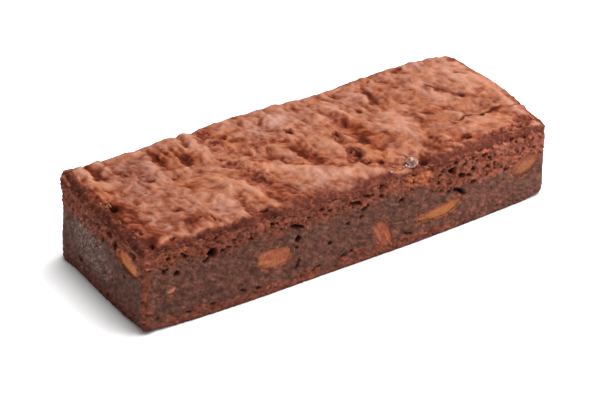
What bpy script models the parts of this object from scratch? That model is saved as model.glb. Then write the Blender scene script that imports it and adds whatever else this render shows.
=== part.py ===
import math
import random

import bmesh
import bpy
import numpy as np
from mathutils import Matrix, Vector

# A bar of brownie with a crinkled, blistered top crust and cut sides that show air holes
# and pieces of pecan. Sizes here are in millimetres and mm turns them into metres.
mm = 0.001

# the bar, measured along its floor line and from corner to corner
length = 125.0
width = 43.7
height_front_left = 24.3
height_front_right = 22.0
height_back_left = 25.3
height_back_right = 24.8
bulge_front = 1.4
bulge_back = 1.2
bulge_left = 0.6
bulge_right = 1.2
skew_right = 0.8
crown = 0.5

# rounding of the four upright corners, seen from above
radius_front_left = 0.9
radius_front_right = 2.0
radius_back_right = 2.4
radius_back_left = 2.2

# how far the floor edge is lifted off the table at the two front corners
lift_front_left = 1.1
lift_front_right = 1.3
lift_reach_left = 13.0
lift_reach_right = 8.0
lift_depth = 12.0

# cells of the top grid and the levels of the side wall
cells_x = 90
cells_y = 32
wall_levels = (0.955, 0.86, 0.70, 0.50, 0.28, 0.09)
wall_offsets = (0.10, 0.30, 0.16, 0.05, 0.05, -0.05)
rim_inset = 0.35
rim_drop = 0.55
rim_reach = 0.9
notch_reach = 3.0
floor_inset = 0.35
floor_ring_inset = 5.0
wall_roughness = 0.10
crust_roughness = 0.13

# broad swells of the top: x, y, reach along x, reach along y, rise
swells = (
    (-58.5, 16.0, 5.0, 11.0, 1.1),
    (-45.0, 12.0, 6.0, 9.0, 0.6),
    (-44.0, -8.0, 14.0, 11.0, 0.4),
    (-7.0, 16.0, 12.0, 9.0, 0.9),
    (-6.0, -15.0, 10.0, 6.0, 0.3),
    (18.0, 19.0, 7.0, 7.0, -0.7),
    (27.0, -4.0, 7.0, 9.0, 0.8),
    (34.0, -17.0, 8.0, 5.0, 0.9),
    (43.0, 14.0, 11.0, 9.0, 1.1),
    (52.0, -13.0, 8.0, 6.0, 0.8),
    (60.0, 2.0, 5.0, 14.0, 0.5),
)

# fine ripples of the top: height, then the two crossing waves and a phase
ripples = (
    (0.16, 0.90, 0.35, -0.20, 0.27, 1.1),
    (0.10, 1.70, -0.50, 0.31, 0.50, 0.7),
)

# creases and ridges of the crust: start x, y, end x, y, sideways bow, half width, rise
folds = (
    (-56.8, 22.0, -57.0, 9.0, 0.6, 1.1, 0.9),
    (-54.8, 19.5, -51.6, 12.0, -0.6, 1.2, -1.7),
    (-50.6, 22.0, -51.4, 9.0, 0.5, 1.0, 0.8),
    (-39.4, 19.0, -40.6, 6.0, 0.8, 1.0, 0.9),
    (-36.6, 20.5, -35.2, 8.0, 0.6, 1.7, -2.3),
    (-33.6, 20.0, -33.2, 13.0, 0.3, 0.8, 0.8),
    (-30.4, 18.0, -31.6, 4.0, -0.8, 1.6, -2.0),
    (-25.2, 18.5, -24.4, 2.0, 0.9, 1.3, 1.1),
    (-21.0, 20.5, -25.2, -2.0, -0.8, 1.5, -1.3),
    (-25.2, -2.0, -16.4, -10.0, -1.0, 1.8, -1.6),
    (-31.2, -2.0, -29.8, -18.5, 0.8, 1.0, 0.9),
    (-27.4, -8.0, -27.6, -23.0, 0.3, 1.9, -1.9),
    (-19.0, 0.5, -7.2, -8.2, 0.6, 1.5, 1.2),
    (-4.6, -10.4, 11.5, -20.5, 0.8, 1.9, 1.4),
    (-16.0, -7.0, -6.0, -16.5, 0.8, 1.8, -0.8),
    (-10.4, 4.0, -7.6, -4.5, 0.6, 1.9, -1.2),
    (-3.2, 3.5, -0.2, -10.0, -1.1, 2.1, -1.7),
    (-12.5, 12.0, 1.5, 10.0, 0.8, 1.1, -0.8),
    (3.6, 8.0, 5.6, -6.5, 0.8, 1.7, 0.9),
    (7.6, -5.0, 13.4, -17.0, -0.8, 2.0, -1.7),
    (10.8, 4.0, 9.2, -5.0, -0.4, 1.0, -1.1),
    (11.0, 14.5, 16.4, 1.0, 1.2, 1.9, -1.9),
    (14.6, -1.0, 14.4, -8.0, 0.5, 1.9, -1.3),
    (15.0, 17.5, 20.2, 4.0, 1.1, 1.1, 1.0),
    (20.4, 22.0, 22.8, 8.5, 0.4, 0.9, -1.1),
    (29.2, 19.5, 27.6, 7.0, 0.9, 1.2, -1.2),
    (33.4, 20.5, 34.6, 2.0, 0.5, 1.1, 0.7),
    (36.0, 20.0, 38.6, 10.0, -0.5, 1.1, -1.0),
    (33.4, 0.0, 30.6, -11.0, 0.6, 1.2, -0.9),
    (25.8, -13.0, 33.0, -20.5, 0.9, 2.0, -1.0),
    (45.4, 12.0, 55.0, -5.0, 0.8, 1.1, -1.2),
    (43.0, 11.0, 50.6, -1.0, 0.7, 1.1, 0.7),
    (41.0, -8.4, 50.6, -9.2, 0.6, 0.8, -0.9),
    (50.6, -9.2, 62.0, -8.4, -0.5, 0.8, -0.9),
    (39.0, -16.4, 47.0, -18.6, 0.4, 0.9, -0.8),
    (-59.0, 3.0, -58.6, -1.8, 0.0, 1.2, -1.9),
    (-58.6, -18.6, -58.8, -21.5, 0.0, 1.0, -1.5),
    (23.0, -17.5, 24.8, -23.5, 0.3, 1.7, -2.0),
)

# places where the front edge of the crust is broken back: x, reach along x, depth
notches = (
    (-28.0, 2.4, 1.1),
    (15.5, 3.2, 0.8),
    (24.4, 3.0, 1.5),
    (50.0, 12.0, 0.9),
)

# one small raised bubble at the front of the crust: x, y, radius, rise
blister = (20.9, -18.6, 2.0, 1.9)

# air holes in the front cut: x, z, half width, half height, tilt in degrees
front_holes = (
    (-43.6, 18.2, 2.0, 1.5, 30.0),
    (-18.3, 17.4, 2.0, 0.6, -20.0),
    (-18.2, 13.8, 1.0, 1.0, 0.0),
    (-18.5, 6.4, 0.6, 1.5, -15.0),
    (-13.3, 22.2, 1.2, 0.6, -10.0),
    (-0.6, 18.7, 2.0, 0.6, -18.0),
    (2.6, 16.2, 1.3, 0.7, 10.0),
    (30.7, 18.2, 1.3, 1.0, -10.0),
    (33.9, 15.6, 1.2, 0.7, -15.0),
    (34.1, 11.8, 1.2, 0.6, -35.0),
    (14.2, 14.8, 0.8, 0.6, 0.0),
    (37.8, 12.4, 1.0, 0.6, 0.0),
    (-53.6, 15.4, 0.8, 0.6, -20.0),
    (17.4, 3.4, 1.3, 0.5, -20.0),
)

# air holes in the left cut: y, z, half width, half height, tilt in degrees
left_holes = (
    (-8.4, 20.2, 1.2, 0.7, 20.0),
    (10.9, 5.1, 0.9, 0.6, 0.0),
)
hole_depth = 1.7

# pieces of pecan cut through at a face: name, face, place along it, height, length,
# thickness, tilt in degrees, depth into the crumb, bend of the length, taper
pecans = (
    ("pecan_front_left", "front", -25.6, 10.4, 10.2, 5.9, -3.0, 4.2, 0.0, 0.08),
    ("pecan_front_middle", "front", 8.5, 6.2, 9.4, 3.8, -64.0, 4.5, 0.0, -0.12),
    ("pecan_front_sliver", "front", 26.3, 7.2, 14.6, 2.6, 4.0, 2.6, 1.3, 0.10),
    ("pecan_front_right", "front", 55.6, 11.4, 9.0, 4.4, 14.0, 4.0, 0.5, 0.30),
    ("pecan_left_end", "left", -14.2, 17.3, 8.8, 4.6, 8.0, 4.2, 0.0, 0.15),
    ("pecan_chip", "front", -55.2, 10.7, 2.7, 2.1, 20.0, 1.8, 0.0, 0.0),
)
pecan_sides = 22
pecan_rings = 3
pecan_proud = 0.0
face_offset = 0.05
seat_gap = 0.3
seat_reach = 2.0

pecan_colour = (0.50, 0.15, 0.055)
crumb_colour = (0.20, 0.062, 0.036)

# the bar stands on the floor with the middle of its box over the origin
middle_x = (bulge_right - bulge_left) / 2 + skew_right / 4
middle_y = (bulge_back - bulge_front) / 2


def round_corners(x, y):
    """Pull the plan into its rounded upright corners."""
    corners = (
        (-1, -1, radius_front_left),
        (1, -1, radius_front_right),
        (1, 1, radius_back_right),
        (-1, 1, radius_back_left),
    )
    for side_x, side_y, radius in corners:
        u = (x * side_x - (length / 2 - radius)) / radius
        v = (y * side_y - (width / 2 - radius)) / radius
        inside = (u > 0) & (v > 0)
        u = np.clip(u, 0, 1)
        v = np.clip(v, 0, 1)
        pulled_u = u * np.sqrt(1 - v * v / 2)
        pulled_v = v * np.sqrt(1 - u * u / 2)
        x = np.where(inside, side_x * (length / 2 - radius + radius * pulled_u), x)
        y = np.where(inside, side_y * (width / 2 - radius + radius * pulled_v), y)
    return x, y


def plan_point(s, t):
    """Plan position for the shares s along the length and t across the width."""
    x, y = round_corners(s * length / 2, t * width / 2)
    y = y + np.where(t > 0, bulge_back, bulge_front) * t * (1 - s * s)
    x = x + np.where(s > 0, bulge_right, bulge_left) * s * (1 - t * t)
    x = x + skew_right * np.clip(s, 0, 1) * (1 - t) / 2
    return x, y


def fold_rise(x, y, fold):
    """Rise of one crease: a bell across a bowed line, rounded off at both ends."""
    x0, y0, x1, y1, bow, half_width, rise = fold
    run_x, run_y = x1 - x0, y1 - y0
    run = math.hypot(run_x, run_y)
    along = ((x - x0) * run_x + (y - y0) * run_y) / run
    across = ((y - y0) * run_x - (x - x0) * run_y) / run
    share = np.clip(along / run, 0, 1)
    across = across - bow * 4 * share * (1 - share)
    beyond = along - share * run
    return rise * np.exp(-(across ** 2 + beyond ** 2) / half_width ** 2)


def top_height(x, y):
    """Height of the crust: the corner heights, a crown, swells, creases and ripples."""
    u = np.clip(x / length + 0.5, 0, 1)
    v = np.clip(y / width + 0.5, 0, 1)
    front = height_front_left * (1 - u) + height_front_right * u
    back = height_back_left * (1 - u) + height_back_right * u
    z = front * (1 - v) + back * v
    z = z + crown * (1 - (2 * u - 1) ** 4) * (1 - (2 * v - 1) ** 4)
    for centre_x, centre_y, reach_x, reach_y, rise in swells:
        z = z + rise * np.exp(-((x - centre_x) / reach_x) ** 2 - ((y - centre_y) / reach_y) ** 2)
    for fold in folds:
        z = z + fold_rise(x, y, fold)
    centre_x, centre_y, radius, rise = blister
    apart = ((x - centre_x) ** 2 + (y - centre_y) ** 2) / radius ** 2
    z = z + rise * np.sqrt(np.clip(1 - apart, 0, 1))
    for height, along_x, along_y, across_x, across_y, phase in ripples:
        z = z + height * np.sin(along_x * x + along_y * y + phase) * np.sin(across_x * x + across_y * y)
    return z


def notch_depth(x):
    """How far the broken front edge of the crust stands back."""
    depth = 0 * x
    for place, reach, back in notches:
        depth = depth + back * np.exp(-((x - place) / reach) ** 2)
    return depth


def floor_lift(x, y):
    """How far the bottom edge is off the table near the two front corners."""
    left = np.clip(1 - (x + length / 2) / lift_reach_left, 0, 1) ** 1.5 * lift_front_left
    right = np.clip(1 - (length / 2 - x) / lift_reach_right, 0, 1) ** 1.5 * lift_front_right
    near_front = np.clip(1 - (y + width / 2 + bulge_front) / lift_depth, 0, 1)
    return (left + right) * near_front


def rim_places():
    """Grid places of the rim in turn: front, right, back, left."""
    places = [(i, 0) for i in range(cells_x)]
    places += [(cells_x, j) for j in range(cells_y)]
    places += [(i, cells_y) for i in range(cells_x, 0, -1)]
    places += [(0, j) for j in range(cells_y, 0, -1)]
    return np.array(places)


def bar_skin():
    """Points and faces of the bar: top grid, side wall rings, floor ring and floor."""
    draw = np.random.default_rng(7)
    s, t = np.meshgrid(np.linspace(-1, 1, cells_x + 1), np.linspace(-1, 1, cells_y + 1), indexing="ij")
    x, y = plan_point(s, t)
    rim = rim_places()
    rim_x, rim_y = x[rim[:, 0], rim[:, 1]], y[rim[:, 0], rim[:, 1]]
    run_x = np.roll(rim_x, -1) - np.roll(rim_x, 1)
    run_y = np.roll(rim_y, -1) - np.roll(rim_y, 1)
    run = np.hypot(run_x, run_y)
    out_x, out_y = run_y / run, -run_x / run

    # the crust sinks and stands back a little at its rim, and more at the front notches
    edge = np.minimum(length / 2 * (1 - np.abs(s)), width / 2 * (1 - np.abs(t)))
    z = top_height(x, y) - rim_drop * np.exp(-(edge / rim_reach) ** 2)
    z = z + crust_roughness * draw.uniform(-1, 1, x.shape)
    y = y + np.exp(-(edge / notch_reach) ** 2) * np.clip(-t, 0, 1) ** 6 * notch_depth(x)
    x[rim[:, 0], rim[:, 1]] -= rim_inset * out_x
    y[rim[:, 0], rim[:, 1]] -= rim_inset * out_y

    rim_z = z[rim[:, 0], rim[:, 1]]
    lift = floor_lift(rim_x, rim_y)
    layers = [np.stack([x, y, z], -1).reshape(-1, 3)]
    for share, offset in zip(wall_levels, wall_offsets):
        out = offset + wall_roughness * draw.uniform(-1, 1, len(rim))
        level = lift + (rim_z - lift) * share
        layers.append(np.stack([rim_x + out * out_x, rim_y + out * out_y, level], -1))
    layers.append(np.stack([rim_x - floor_inset * out_x, rim_y - floor_inset * out_y, lift], -1))
    shrink_x = 1 - 2 * floor_ring_inset / length
    shrink_y = 1 - 2 * floor_ring_inset / width
    layers.append(np.stack([rim_x * shrink_x, rim_y * shrink_y, 0 * rim_x], -1))

    row = cells_y + 1
    faces = []
    for i in range(cells_x):
        for j in range(cells_y):
            a = i * row + j
            faces.append((a, a + row, a + row + 1, a + 1))
    upper = [int(k) for k in rim[:, 0] * row + rim[:, 1]]
    first = len(layers[0])
    for layer in layers[1:]:
        lower = list(range(first, first + len(layer)))
        for k in range(len(upper)):
            n = (k + 1) % len(upper)
            faces.append((upper[k], lower[k], lower[n], upper[n]))
        upper = lower
        first += len(layer)
    faces.append(tuple(reversed(upper)))
    return np.concatenate(layers), faces


def mesh_object(name, points, faces):
    """A closed mesh facing out, from points in millimetres, under the bar's own empty."""
    mesh = bpy.data.meshes.new(name)
    mesh.from_pydata([tuple(float(c) * mm for c in p) for p in points], [], faces)
    work = bmesh.new()
    work.from_mesh(mesh)
    work.normal_update()
    bmesh.ops.recalc_face_normals(work, faces=work.faces)
    work.to_mesh(mesh)
    work.free()
    item = bpy.data.objects.new(name, mesh)
    bpy.context.scene.collection.objects.link(item)
    item.parent = bar
    return item


def set_in_face(item, face, place, level, tilt):
    """Stand a piece in a cut face: its X along the face and its Z out of the face."""
    if face == "front":
        slope = 2 * bulge_front * place / (length / 2) ** 2
        along = Vector((1, slope, 0)).normalized()
        depth = -width / 2 - bulge_front * (1 - (2 * place / length) ** 2)
        item.location = Vector((place, depth - face_offset, level)) * mm
    else:
        along = Vector((0, -1, 0))
        depth = -length / 2 - bulge_left * (1 - (2 * place / width) ** 2)
        item.location = Vector((depth - face_offset, place, level)) * mm
    up = Vector((0, 0, 1))
    out = along.cross(up)
    upright = Matrix((along, up, out)).transposed()
    item.rotation_euler = (upright @ Matrix.Rotation(math.radians(tilt), 3, "Z")).to_euler()


def hole_cutter(name, face, place, level, half_wide, half_high, tilt):
    """A rounded cutter centred on a cut face."""
    work = bmesh.new()
    bmesh.ops.create_icosphere(work, subdivisions=1, radius=1.0)
    points = [(v.co.x * half_wide, v.co.y * half_high, v.co.z * hole_depth) for v in work.verts]
    faces = [tuple(v.index for v in f.verts) for f in work.faces]
    work.free()
    item = mesh_object(name, points, faces)
    set_in_face(item, face, place, level, tilt)
    return item


def pecan_object(name, spec, grow, proud):
    """A piece of pecan: an uneven oval at the cut face that closes in towards its depth."""
    face, place, level, long, thick, tilt, depth, bend, taper = spec
    draw = random.Random(round(10 * place + level))
    first, second = draw.uniform(0, 6.28), draw.uniform(0, 6.28)
    points, faces = [], []
    for ring in range(pecan_rings + 1):
        share = ring / (pecan_rings + 0.35)
        size = math.sqrt(1 - share ** 2.4)
        out = -share * (depth + grow) if ring else proud
        for side in range(pecan_sides):
            angle = 2 * math.pi * side / pecan_sides
            c, s = math.cos(angle), math.sin(angle)
            blocky = 1 / (abs(c) ** 2.6 + abs(s) ** 2.6) ** (1 / 2.6)
            uneven = 1 + 0.045 * math.sin(3 * angle + first) + 0.03 * math.sin(5 * angle + second)
            a = c * blocky * uneven * size
            b = s * blocky * uneven * size * (1 - taper * a)
            points.append((a * (long / 2 + grow), b * (thick / 2 + grow) + bend * (a * a - 0.4), out))
    for ring in range(pecan_rings):
        for side in range(pecan_sides):
            a = ring * pecan_sides + side
            b = ring * pecan_sides + (side + 1) % pecan_sides
            faces.append((a, b, b + pecan_sides, a + pecan_sides))
    faces.append(tuple(range(pecan_sides)))
    faces.append(tuple(range(pecan_rings * pecan_sides, (pecan_rings + 1) * pecan_sides)))
    item = mesh_object(name, points, faces)
    set_in_face(item, face, place, level, tilt)
    return item


def cut_away(item, cutters):
    """Take every cutter out of the bar, keep the cut mesh, then remove the cutters."""
    for cutter in cutters:
        cut = item.modifiers.new(cutter.name, "BOOLEAN")
        cut.operation = "DIFFERENCE"
        cut.solver = "EXACT"
        cut.object = cutter
    depsgraph = bpy.context.evaluated_depsgraph_get()
    shaped = bpy.data.meshes.new_from_object(item.evaluated_get(depsgraph))
    item.modifiers.clear()
    item.data = shaped
    for cutter in cutters:
        bpy.data.objects.remove(cutter)


def clean_up(item):
    """Merge points that fall together and turn every face into triangles."""
    work = bmesh.new()
    work.from_mesh(item.data)
    bmesh.ops.remove_doubles(work, verts=work.verts, dist=2e-5)
    bmesh.ops.triangulate(work, faces=work.faces)
    bmesh.ops.dissolve_degenerate(work, edges=work.edges, dist=1e-6)
    bmesh.ops.triangulate(work, faces=work.faces)
    work.to_mesh(item.data)
    work.free()


def finish(item, colour, roughness, sharp_angle):
    """Give the piece a material of its own and smooth shading up to its sharp edges."""
    material = bpy.data.materials.new(item.name)
    material.use_nodes = True
    shader = material.node_tree.nodes["Principled BSDF"]
    shader.inputs["Base Color"].default_value = (*colour, 1.0)
    shader.inputs["Roughness"].default_value = roughness
    shader.inputs["Metallic"].default_value = 0.0
    item.data.materials.clear()
    item.data.materials.append(material)
    item.data.shade_smooth()
    item.data.set_sharp_from_angle(angle=math.radians(sharp_angle))


for old in list(bpy.data.objects):
    bpy.data.objects.remove(old)

bar = bpy.data.objects.new("bar", None)
bpy.context.scene.collection.objects.link(bar)
bar.location = (-middle_x * mm, -middle_y * mm, 0)

brownie = mesh_object("brownie", *bar_skin())
cutters = []
for number, hole in enumerate(front_holes):
    cutters.append(hole_cutter(f"front_hole_{number}", "front", *hole))
for number, hole in enumerate(left_holes):
    cutters.append(hole_cutter(f"left_hole_{number}", "left", *hole))
for name, *spec in pecans:
    pecan = pecan_object(name, spec, 0.0, pecan_proud)
    finish(pecan, pecan_colour, 0.55, 40)
    cutters.append(pecan_object(name + "_seat", spec, seat_gap, seat_reach))
bpy.context.view_layer.update()
cut_away(brownie, cutters)
clean_up(brownie)
finish(brownie, crumb_colour, 0.75, 40)
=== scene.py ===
import itertools
import math
import random

import bpy
import numpy as np
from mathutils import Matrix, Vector


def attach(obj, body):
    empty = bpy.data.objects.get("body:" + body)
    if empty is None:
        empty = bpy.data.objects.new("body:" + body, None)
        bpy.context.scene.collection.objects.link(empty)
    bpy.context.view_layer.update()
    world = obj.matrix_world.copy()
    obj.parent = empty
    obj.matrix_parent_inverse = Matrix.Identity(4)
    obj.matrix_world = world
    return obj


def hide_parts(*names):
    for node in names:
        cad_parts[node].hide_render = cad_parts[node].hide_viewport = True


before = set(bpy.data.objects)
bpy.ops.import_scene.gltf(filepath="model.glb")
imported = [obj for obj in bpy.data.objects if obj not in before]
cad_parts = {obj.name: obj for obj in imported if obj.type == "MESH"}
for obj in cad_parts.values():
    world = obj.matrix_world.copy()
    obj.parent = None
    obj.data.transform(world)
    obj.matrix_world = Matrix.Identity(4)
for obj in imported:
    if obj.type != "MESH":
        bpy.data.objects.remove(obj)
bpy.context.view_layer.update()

mm = 0.001
# sizes below are in millimetres, in the bar's own frame, which stands this far from the model's
barShift = np.array([-0.5, 0.1, 0.0])


# numbers that look random but come out the same each time

def hashShare(cell, seed):
    # a share from 0 to 1 for each whole-numbered cell, mixed from its three numbers
    n = cell[..., 0] * 73856093 ^ cell[..., 1] * 19349663 ^ cell[..., 2] * 83492791 ^ seed * 40503
    n = (n ^ (n >> 15)) * 2246822519 & 0xFFFFFFFF
    n = (n ^ (n >> 13)) * 3266489917 & 0xFFFFFFFF
    return ((n ^ (n >> 16)) & 0xFFFFFF) / 0xFFFFFF


def softNoise(p, size, seed):
    # gradient noise of about -1 to 1: a random slope at each corner of a cell, eased between them
    q = p / np.asarray(size, float)
    cell = np.floor(q).astype(np.int64)
    f = q - cell
    ease = f * f * f * (f * (f * 6 - 15) + 10)
    total = 0.0
    for corner in np.ndindex(2, 2, 2):
        corner = np.array(corner)
        reach = f - corner
        slope = sum((hashShare(cell + corner, seed + 7 * k) * 2 - 1) * reach[..., k] for k in range(3))
        total = total + np.prod(np.where(corner == 1, ease, 1 - ease), -1) * slope
    return total * 1.7


def layered(p, *layers):
    # a sum of soft noises, each with its size, its seed and its share
    return sum(share * softNoise(p, size, seed) for size, seed, share in layers)


def scattered(p, size, seed):
    # the random point of each of the 27 cells round p: the cell's numbers and how far the point is
    q = p / np.asarray(size, float)
    cell = np.floor(q).astype(np.int64)
    for step in np.ndindex(3, 3, 3):
        c = cell + np.array(step) - 1
        spot = np.stack([c[..., k] + hashShare(c, seed + 11 * k) for k in range(3)], -1)
        yield c, np.sqrt(((q - spot) ** 2).sum(-1))


def lumpNoise(p, size, seed):
    # distance to the nearest of the random points, in cells
    near = np.full(p.shape[:-1], 9.0)
    for _, apart in scattered(p, size, seed):
        near = np.minimum(near, apart)
    return near


def poreDepth(p, size, openShare, seed, wide=0.42):
    # round pits at the random points: only an open share of them, each with a width of its own
    deepest = np.zeros(p.shape[:-1])
    for c, apart in scattered(p, size, seed):
        room = np.clip((openShare - hashShare(c, seed + 50)) * 3.0, 0, 1)
        radius = wide * room * (0.45 + 0.55 * hashShare(c, seed + 60))
        deepest = np.maximum(deepest, eased((radius - apart) / 0.16) * room)
    return deepest


def eased(t):
    # 0 below 0, 1 above 1 and a smooth bend between
    t = np.clip(t, 0, 1)
    return t * t * (3 - 2 * t)


def ramp(x, start, reach):
    # 0 up to the start, 1 from one reach further on
    return eased((x - start) / reach)


def bell(x, middle, reach):
    # exp of minus the squared distance from the middle, in reaches
    return np.exp(-((x - middle) / reach) ** 2)


def hill(x, y, middleX, middleY, reachX, reachY):
    # the same over an oval
    return np.exp(-((x - middleX) / reachX) ** 2 - ((y - middleY) / reachY) ** 2)


def inOval(x, y, middleX, middleY, reachX, reachY, turn=0):
    # squared distance from the middle of a turned oval, 1 at its rim
    c, s = math.cos(math.radians(turn)), math.sin(math.radians(turn))
    u = (x - middleX) * c + (y - middleY) * s
    v = (y - middleY) * c - (x - middleX) * s
    return (u / reachX) ** 2 + (v / reachY) ** 2


def ovals(rows, x, y):
    # for each oval of a table, how far x, y is in it, its amount and the sum of its reaches
    for row in rows:
        yield inOval(x, y, *row[:4], *row[5:]), row[4], row[2] + row[3]


def softened(z, reach):
    # a grid of heights averaged over the neighbours within reach, twice, along both ways
    for axis in (0, 1, 0, 1):
        pads = [(0, 0), (0, 0)]
        pads[axis] = (reach + 1, reach)
        run = np.cumsum(np.pad(z, pads, mode="edge"), axis=axis)
        low, high = (np.take(run, range(n, n + z.shape[axis]), axis=axis) for n in (0, 2 * reach + 1))
        z = (high - low) / (2 * reach + 1)
    return z


# meshes

def stacked(x, y, z):
    # points from their three coordinates, any of which may be one number
    return np.stack(np.broadcast_arrays(x, y, z), -1)


def gridQuads(rows, columns, wrap=False):
    # four corners of every cell of a grid whose points run column by column within a row
    r, c = np.meshgrid(np.arange(rows - 1), np.arange(columns if wrap else columns - 1), indexing="ij")
    n = (c + 1) % columns
    quads = np.stack([r * columns + c, r * columns + n, (r + 1) * columns + n, (r + 1) * columns + c], -1)
    return quads.reshape(-1, 4)


def gridRim(a, b):
    # the points round the outside of a grid of a by b cells
    corners = [(i, 0) for i in range(a)] + [(a, j) for j in range(b)]
    return np.array(corners + [(i, b) for i in range(a, 0, -1)] + [(0, j) for j in range(b, 0, -1)])


def fanFaces(loop, centre):
    # a triangle from each step of a closed loop to one middle point
    return np.stack([loop, np.roll(loop, -1), np.full(len(loop), centre)], -1)


def closedRings(rows, columns, way=1):
    # quads between closed rings, and a fan at each end to a point that follows them
    count = rows * columns
    low, high = np.arange(columns)[::-way], np.arange(count - columns, count)[::way]
    return [gridQuads(rows, columns, True)[:, ::way], fanFaces(low, count), fanFaces(high, count + 1)]


def gridNormals(points, wrap):
    # outward direction at each point of a grid, from the steps to its neighbours both ways
    along = np.roll(points, -1, 1) - np.roll(points, 1, 1) if wrap else np.gradient(points, axis=1)
    normal = np.cross(along, np.gradient(points, axis=0))
    return normal / np.maximum(np.linalg.norm(normal, axis=-1, keepdims=True), 1e-9)


def makePiece(name, points, faces, masks, material, smooth=True):
    # a finished piece on the part's only body: its place is in its mesh, in metres
    mesh = bpy.data.meshes.new(name)
    mesh.from_pydata(((points + barShift) * mm).tolist(), [], [f for part in faces for f in part.tolist()])
    for mask, values in masks.items():
        layer = mesh.attributes.new(mask, "FLOAT", "POINT")
        layer.data.foreach_set("value", np.ascontiguousarray(values, np.float32).ravel())
    mesh.polygons.foreach_set("use_smooth", np.full(len(mesh.polygons), smooth))
    mesh.materials.append(material)
    mesh.update()
    piece = bpy.data.objects.new(name, mesh)
    bpy.context.scene.collection.objects.link(piece)
    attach(piece, "root")
    triangles = sum(len(part) * (part.shape[1] - 2) for part in faces)
    print(f"{name}: {len(points)} points, {triangles} triangles")
    return piece


# materials

class Wire:
    # one value in a material; sums, differences and products of it add their own Math nodes
    def __init__(self, socket):
        self.socket = socket

    def node(self, kind, settings=None, inputs=None, out=0):
        # settings first, because some of them change which sockets the node has
        made = self.socket.id_data.nodes.new(kind)
        for name, value in (settings or {}).items():
            if name == "stops":
                steps = made.color_ramp.elements
                while len(steps) < len(value):
                    steps.new(0.5)
                for step, (position, colour) in zip(steps, value):
                    step.position = position
                    step.color = (*colour, 1.0)
            else:
                setattr(made, name, value)
        feed(made, inputs or {})
        return Wire(made.outputs[out])

    def math(self, operation, *values):
        return self.node("ShaderNodeMath", {"operation": operation}, dict(enumerate(values)))

    def __add__(self, other):
        return self.math("ADD", self, other)

    def __sub__(self, other):
        return self.math("SUBTRACT", self, other)

    def __rsub__(self, other):
        return self.math("SUBTRACT", other, self)

    def __mul__(self, other):
        return self.math("MULTIPLY", self, other)

    __radd__ = __add__
    __rmul__ = __mul__

    def held(self):
        # kept from 0 to 1
        return self.node("ShaderNodeClamp", None, {0: self})

    def mix(self, low, high):
        # a colour between two others, with this value as the share of the second
        ends = [colour if isinstance(colour, Wire) else (*colour, 1.0) for colour in (low, high)]
        return self.node("ShaderNodeMix", {"data_type": "RGBA"}, {0: self, 6: ends[0], 7: ends[1]}, 2)

    def tinted(self, other):
        # this colour times another
        settings = {"data_type": "RGBA", "blend_type": "MULTIPLY"}
        return self.node("ShaderNodeMix", settings, {0: 1.0, 6: self, 7: other}, 2)

    def grain(self, size, detail=2.0, rough=0.55):
        # noise from 0 to 1 at these coordinates, with features of a size in millimetres
        inputs = {"Vector": self, "Scale": 1 / (size * mm), "Detail": detail, "Roughness": rough}
        return self.node("ShaderNodeTexNoise", None, inputs)

    def masks(self, *names):
        # the piece's own attributes
        return [self.node("ShaderNodeAttribute", {"attribute_name": name}, out=2) for name in names]

    def bump(self, depth):
        # a normal from this height, with the depth in millimetres for a height of 1
        return self.node("ShaderNodeBump", None, {"Height": self, "Strength": 1.0, "Distance": depth * mm})


def feed(node, inputs):
    # a Wire is linked to the node's socket, and anything else becomes the socket's own value
    for key, value in inputs.items():
        if isinstance(value, Wire):
            node.id_data.links.new(value.socket, node.inputs[key])
        else:
            node.inputs[key].default_value = value


def newMaterial(name):
    # a material, its shader and its object coordinates
    material = bpy.data.materials.new(name)
    material.use_nodes = True
    shader = material.node_tree.nodes["Principled BSDF"]
    return material, shader, Wire(shader.outputs[0]).node("ShaderNodeTexCoord", out=3)


def crumblyMaterial(name, look):
    # two browns mixed by each crumb's or flake's own tone and a fine grain
    material, shader, place = newMaterial(name)
    size, detail, uneven = look["grain"]
    tone = place.masks("tone")[0] + (place.grain(size, detail) - 0.5) * uneven
    feed(shader, {"Base Color": tone.held().mix(look["dark"], look["light"]),
                  "Roughness": look["roughness"], "Specular IOR Level": look["specular"]})
    return material


# the pit colour is painted shade in pits, pores, cracks and on the darkest rim; the side colours are the cut
# edge's own purple-brown, also used as painted shade where the top rounds down
crustLook = {
    "tones": ((0.0, (0.045, 0.008, 0.003)), (0.2, (0.095, 0.018, 0.007)), (0.4, (0.165, 0.047, 0.023)),
              (0.6, (0.231, 0.086, 0.048)), (0.8, (0.286, 0.123, 0.074)), (1.0, (0.343, 0.163, 0.108))),
    "dullTint": (0.97, 1.09, 1.32), "warmTint": (1.07, 0.87, 0.65),
    "brokenTones": ((0.0, (0.065, 0.012, 0.006)), (0.5, (0.18, 0.045, 0.024)), (1.0, (0.315, 0.114, 0.066))),
    "side": (0.072, 0.018, 0.012), "sideWarm": (0.172, 0.046, 0.024), "pit": (0.025, 0.005, 0.003),
    "roughness": 0.55, "brokenRoughness": 0.8, "specular": 0.05,
    "sheen": 0.14, "sheenRoughness": 0.42, "grainDepth": 0.1,
    "creaseLean": 0.4, "creaseStretch": 3.3,
}


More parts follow.
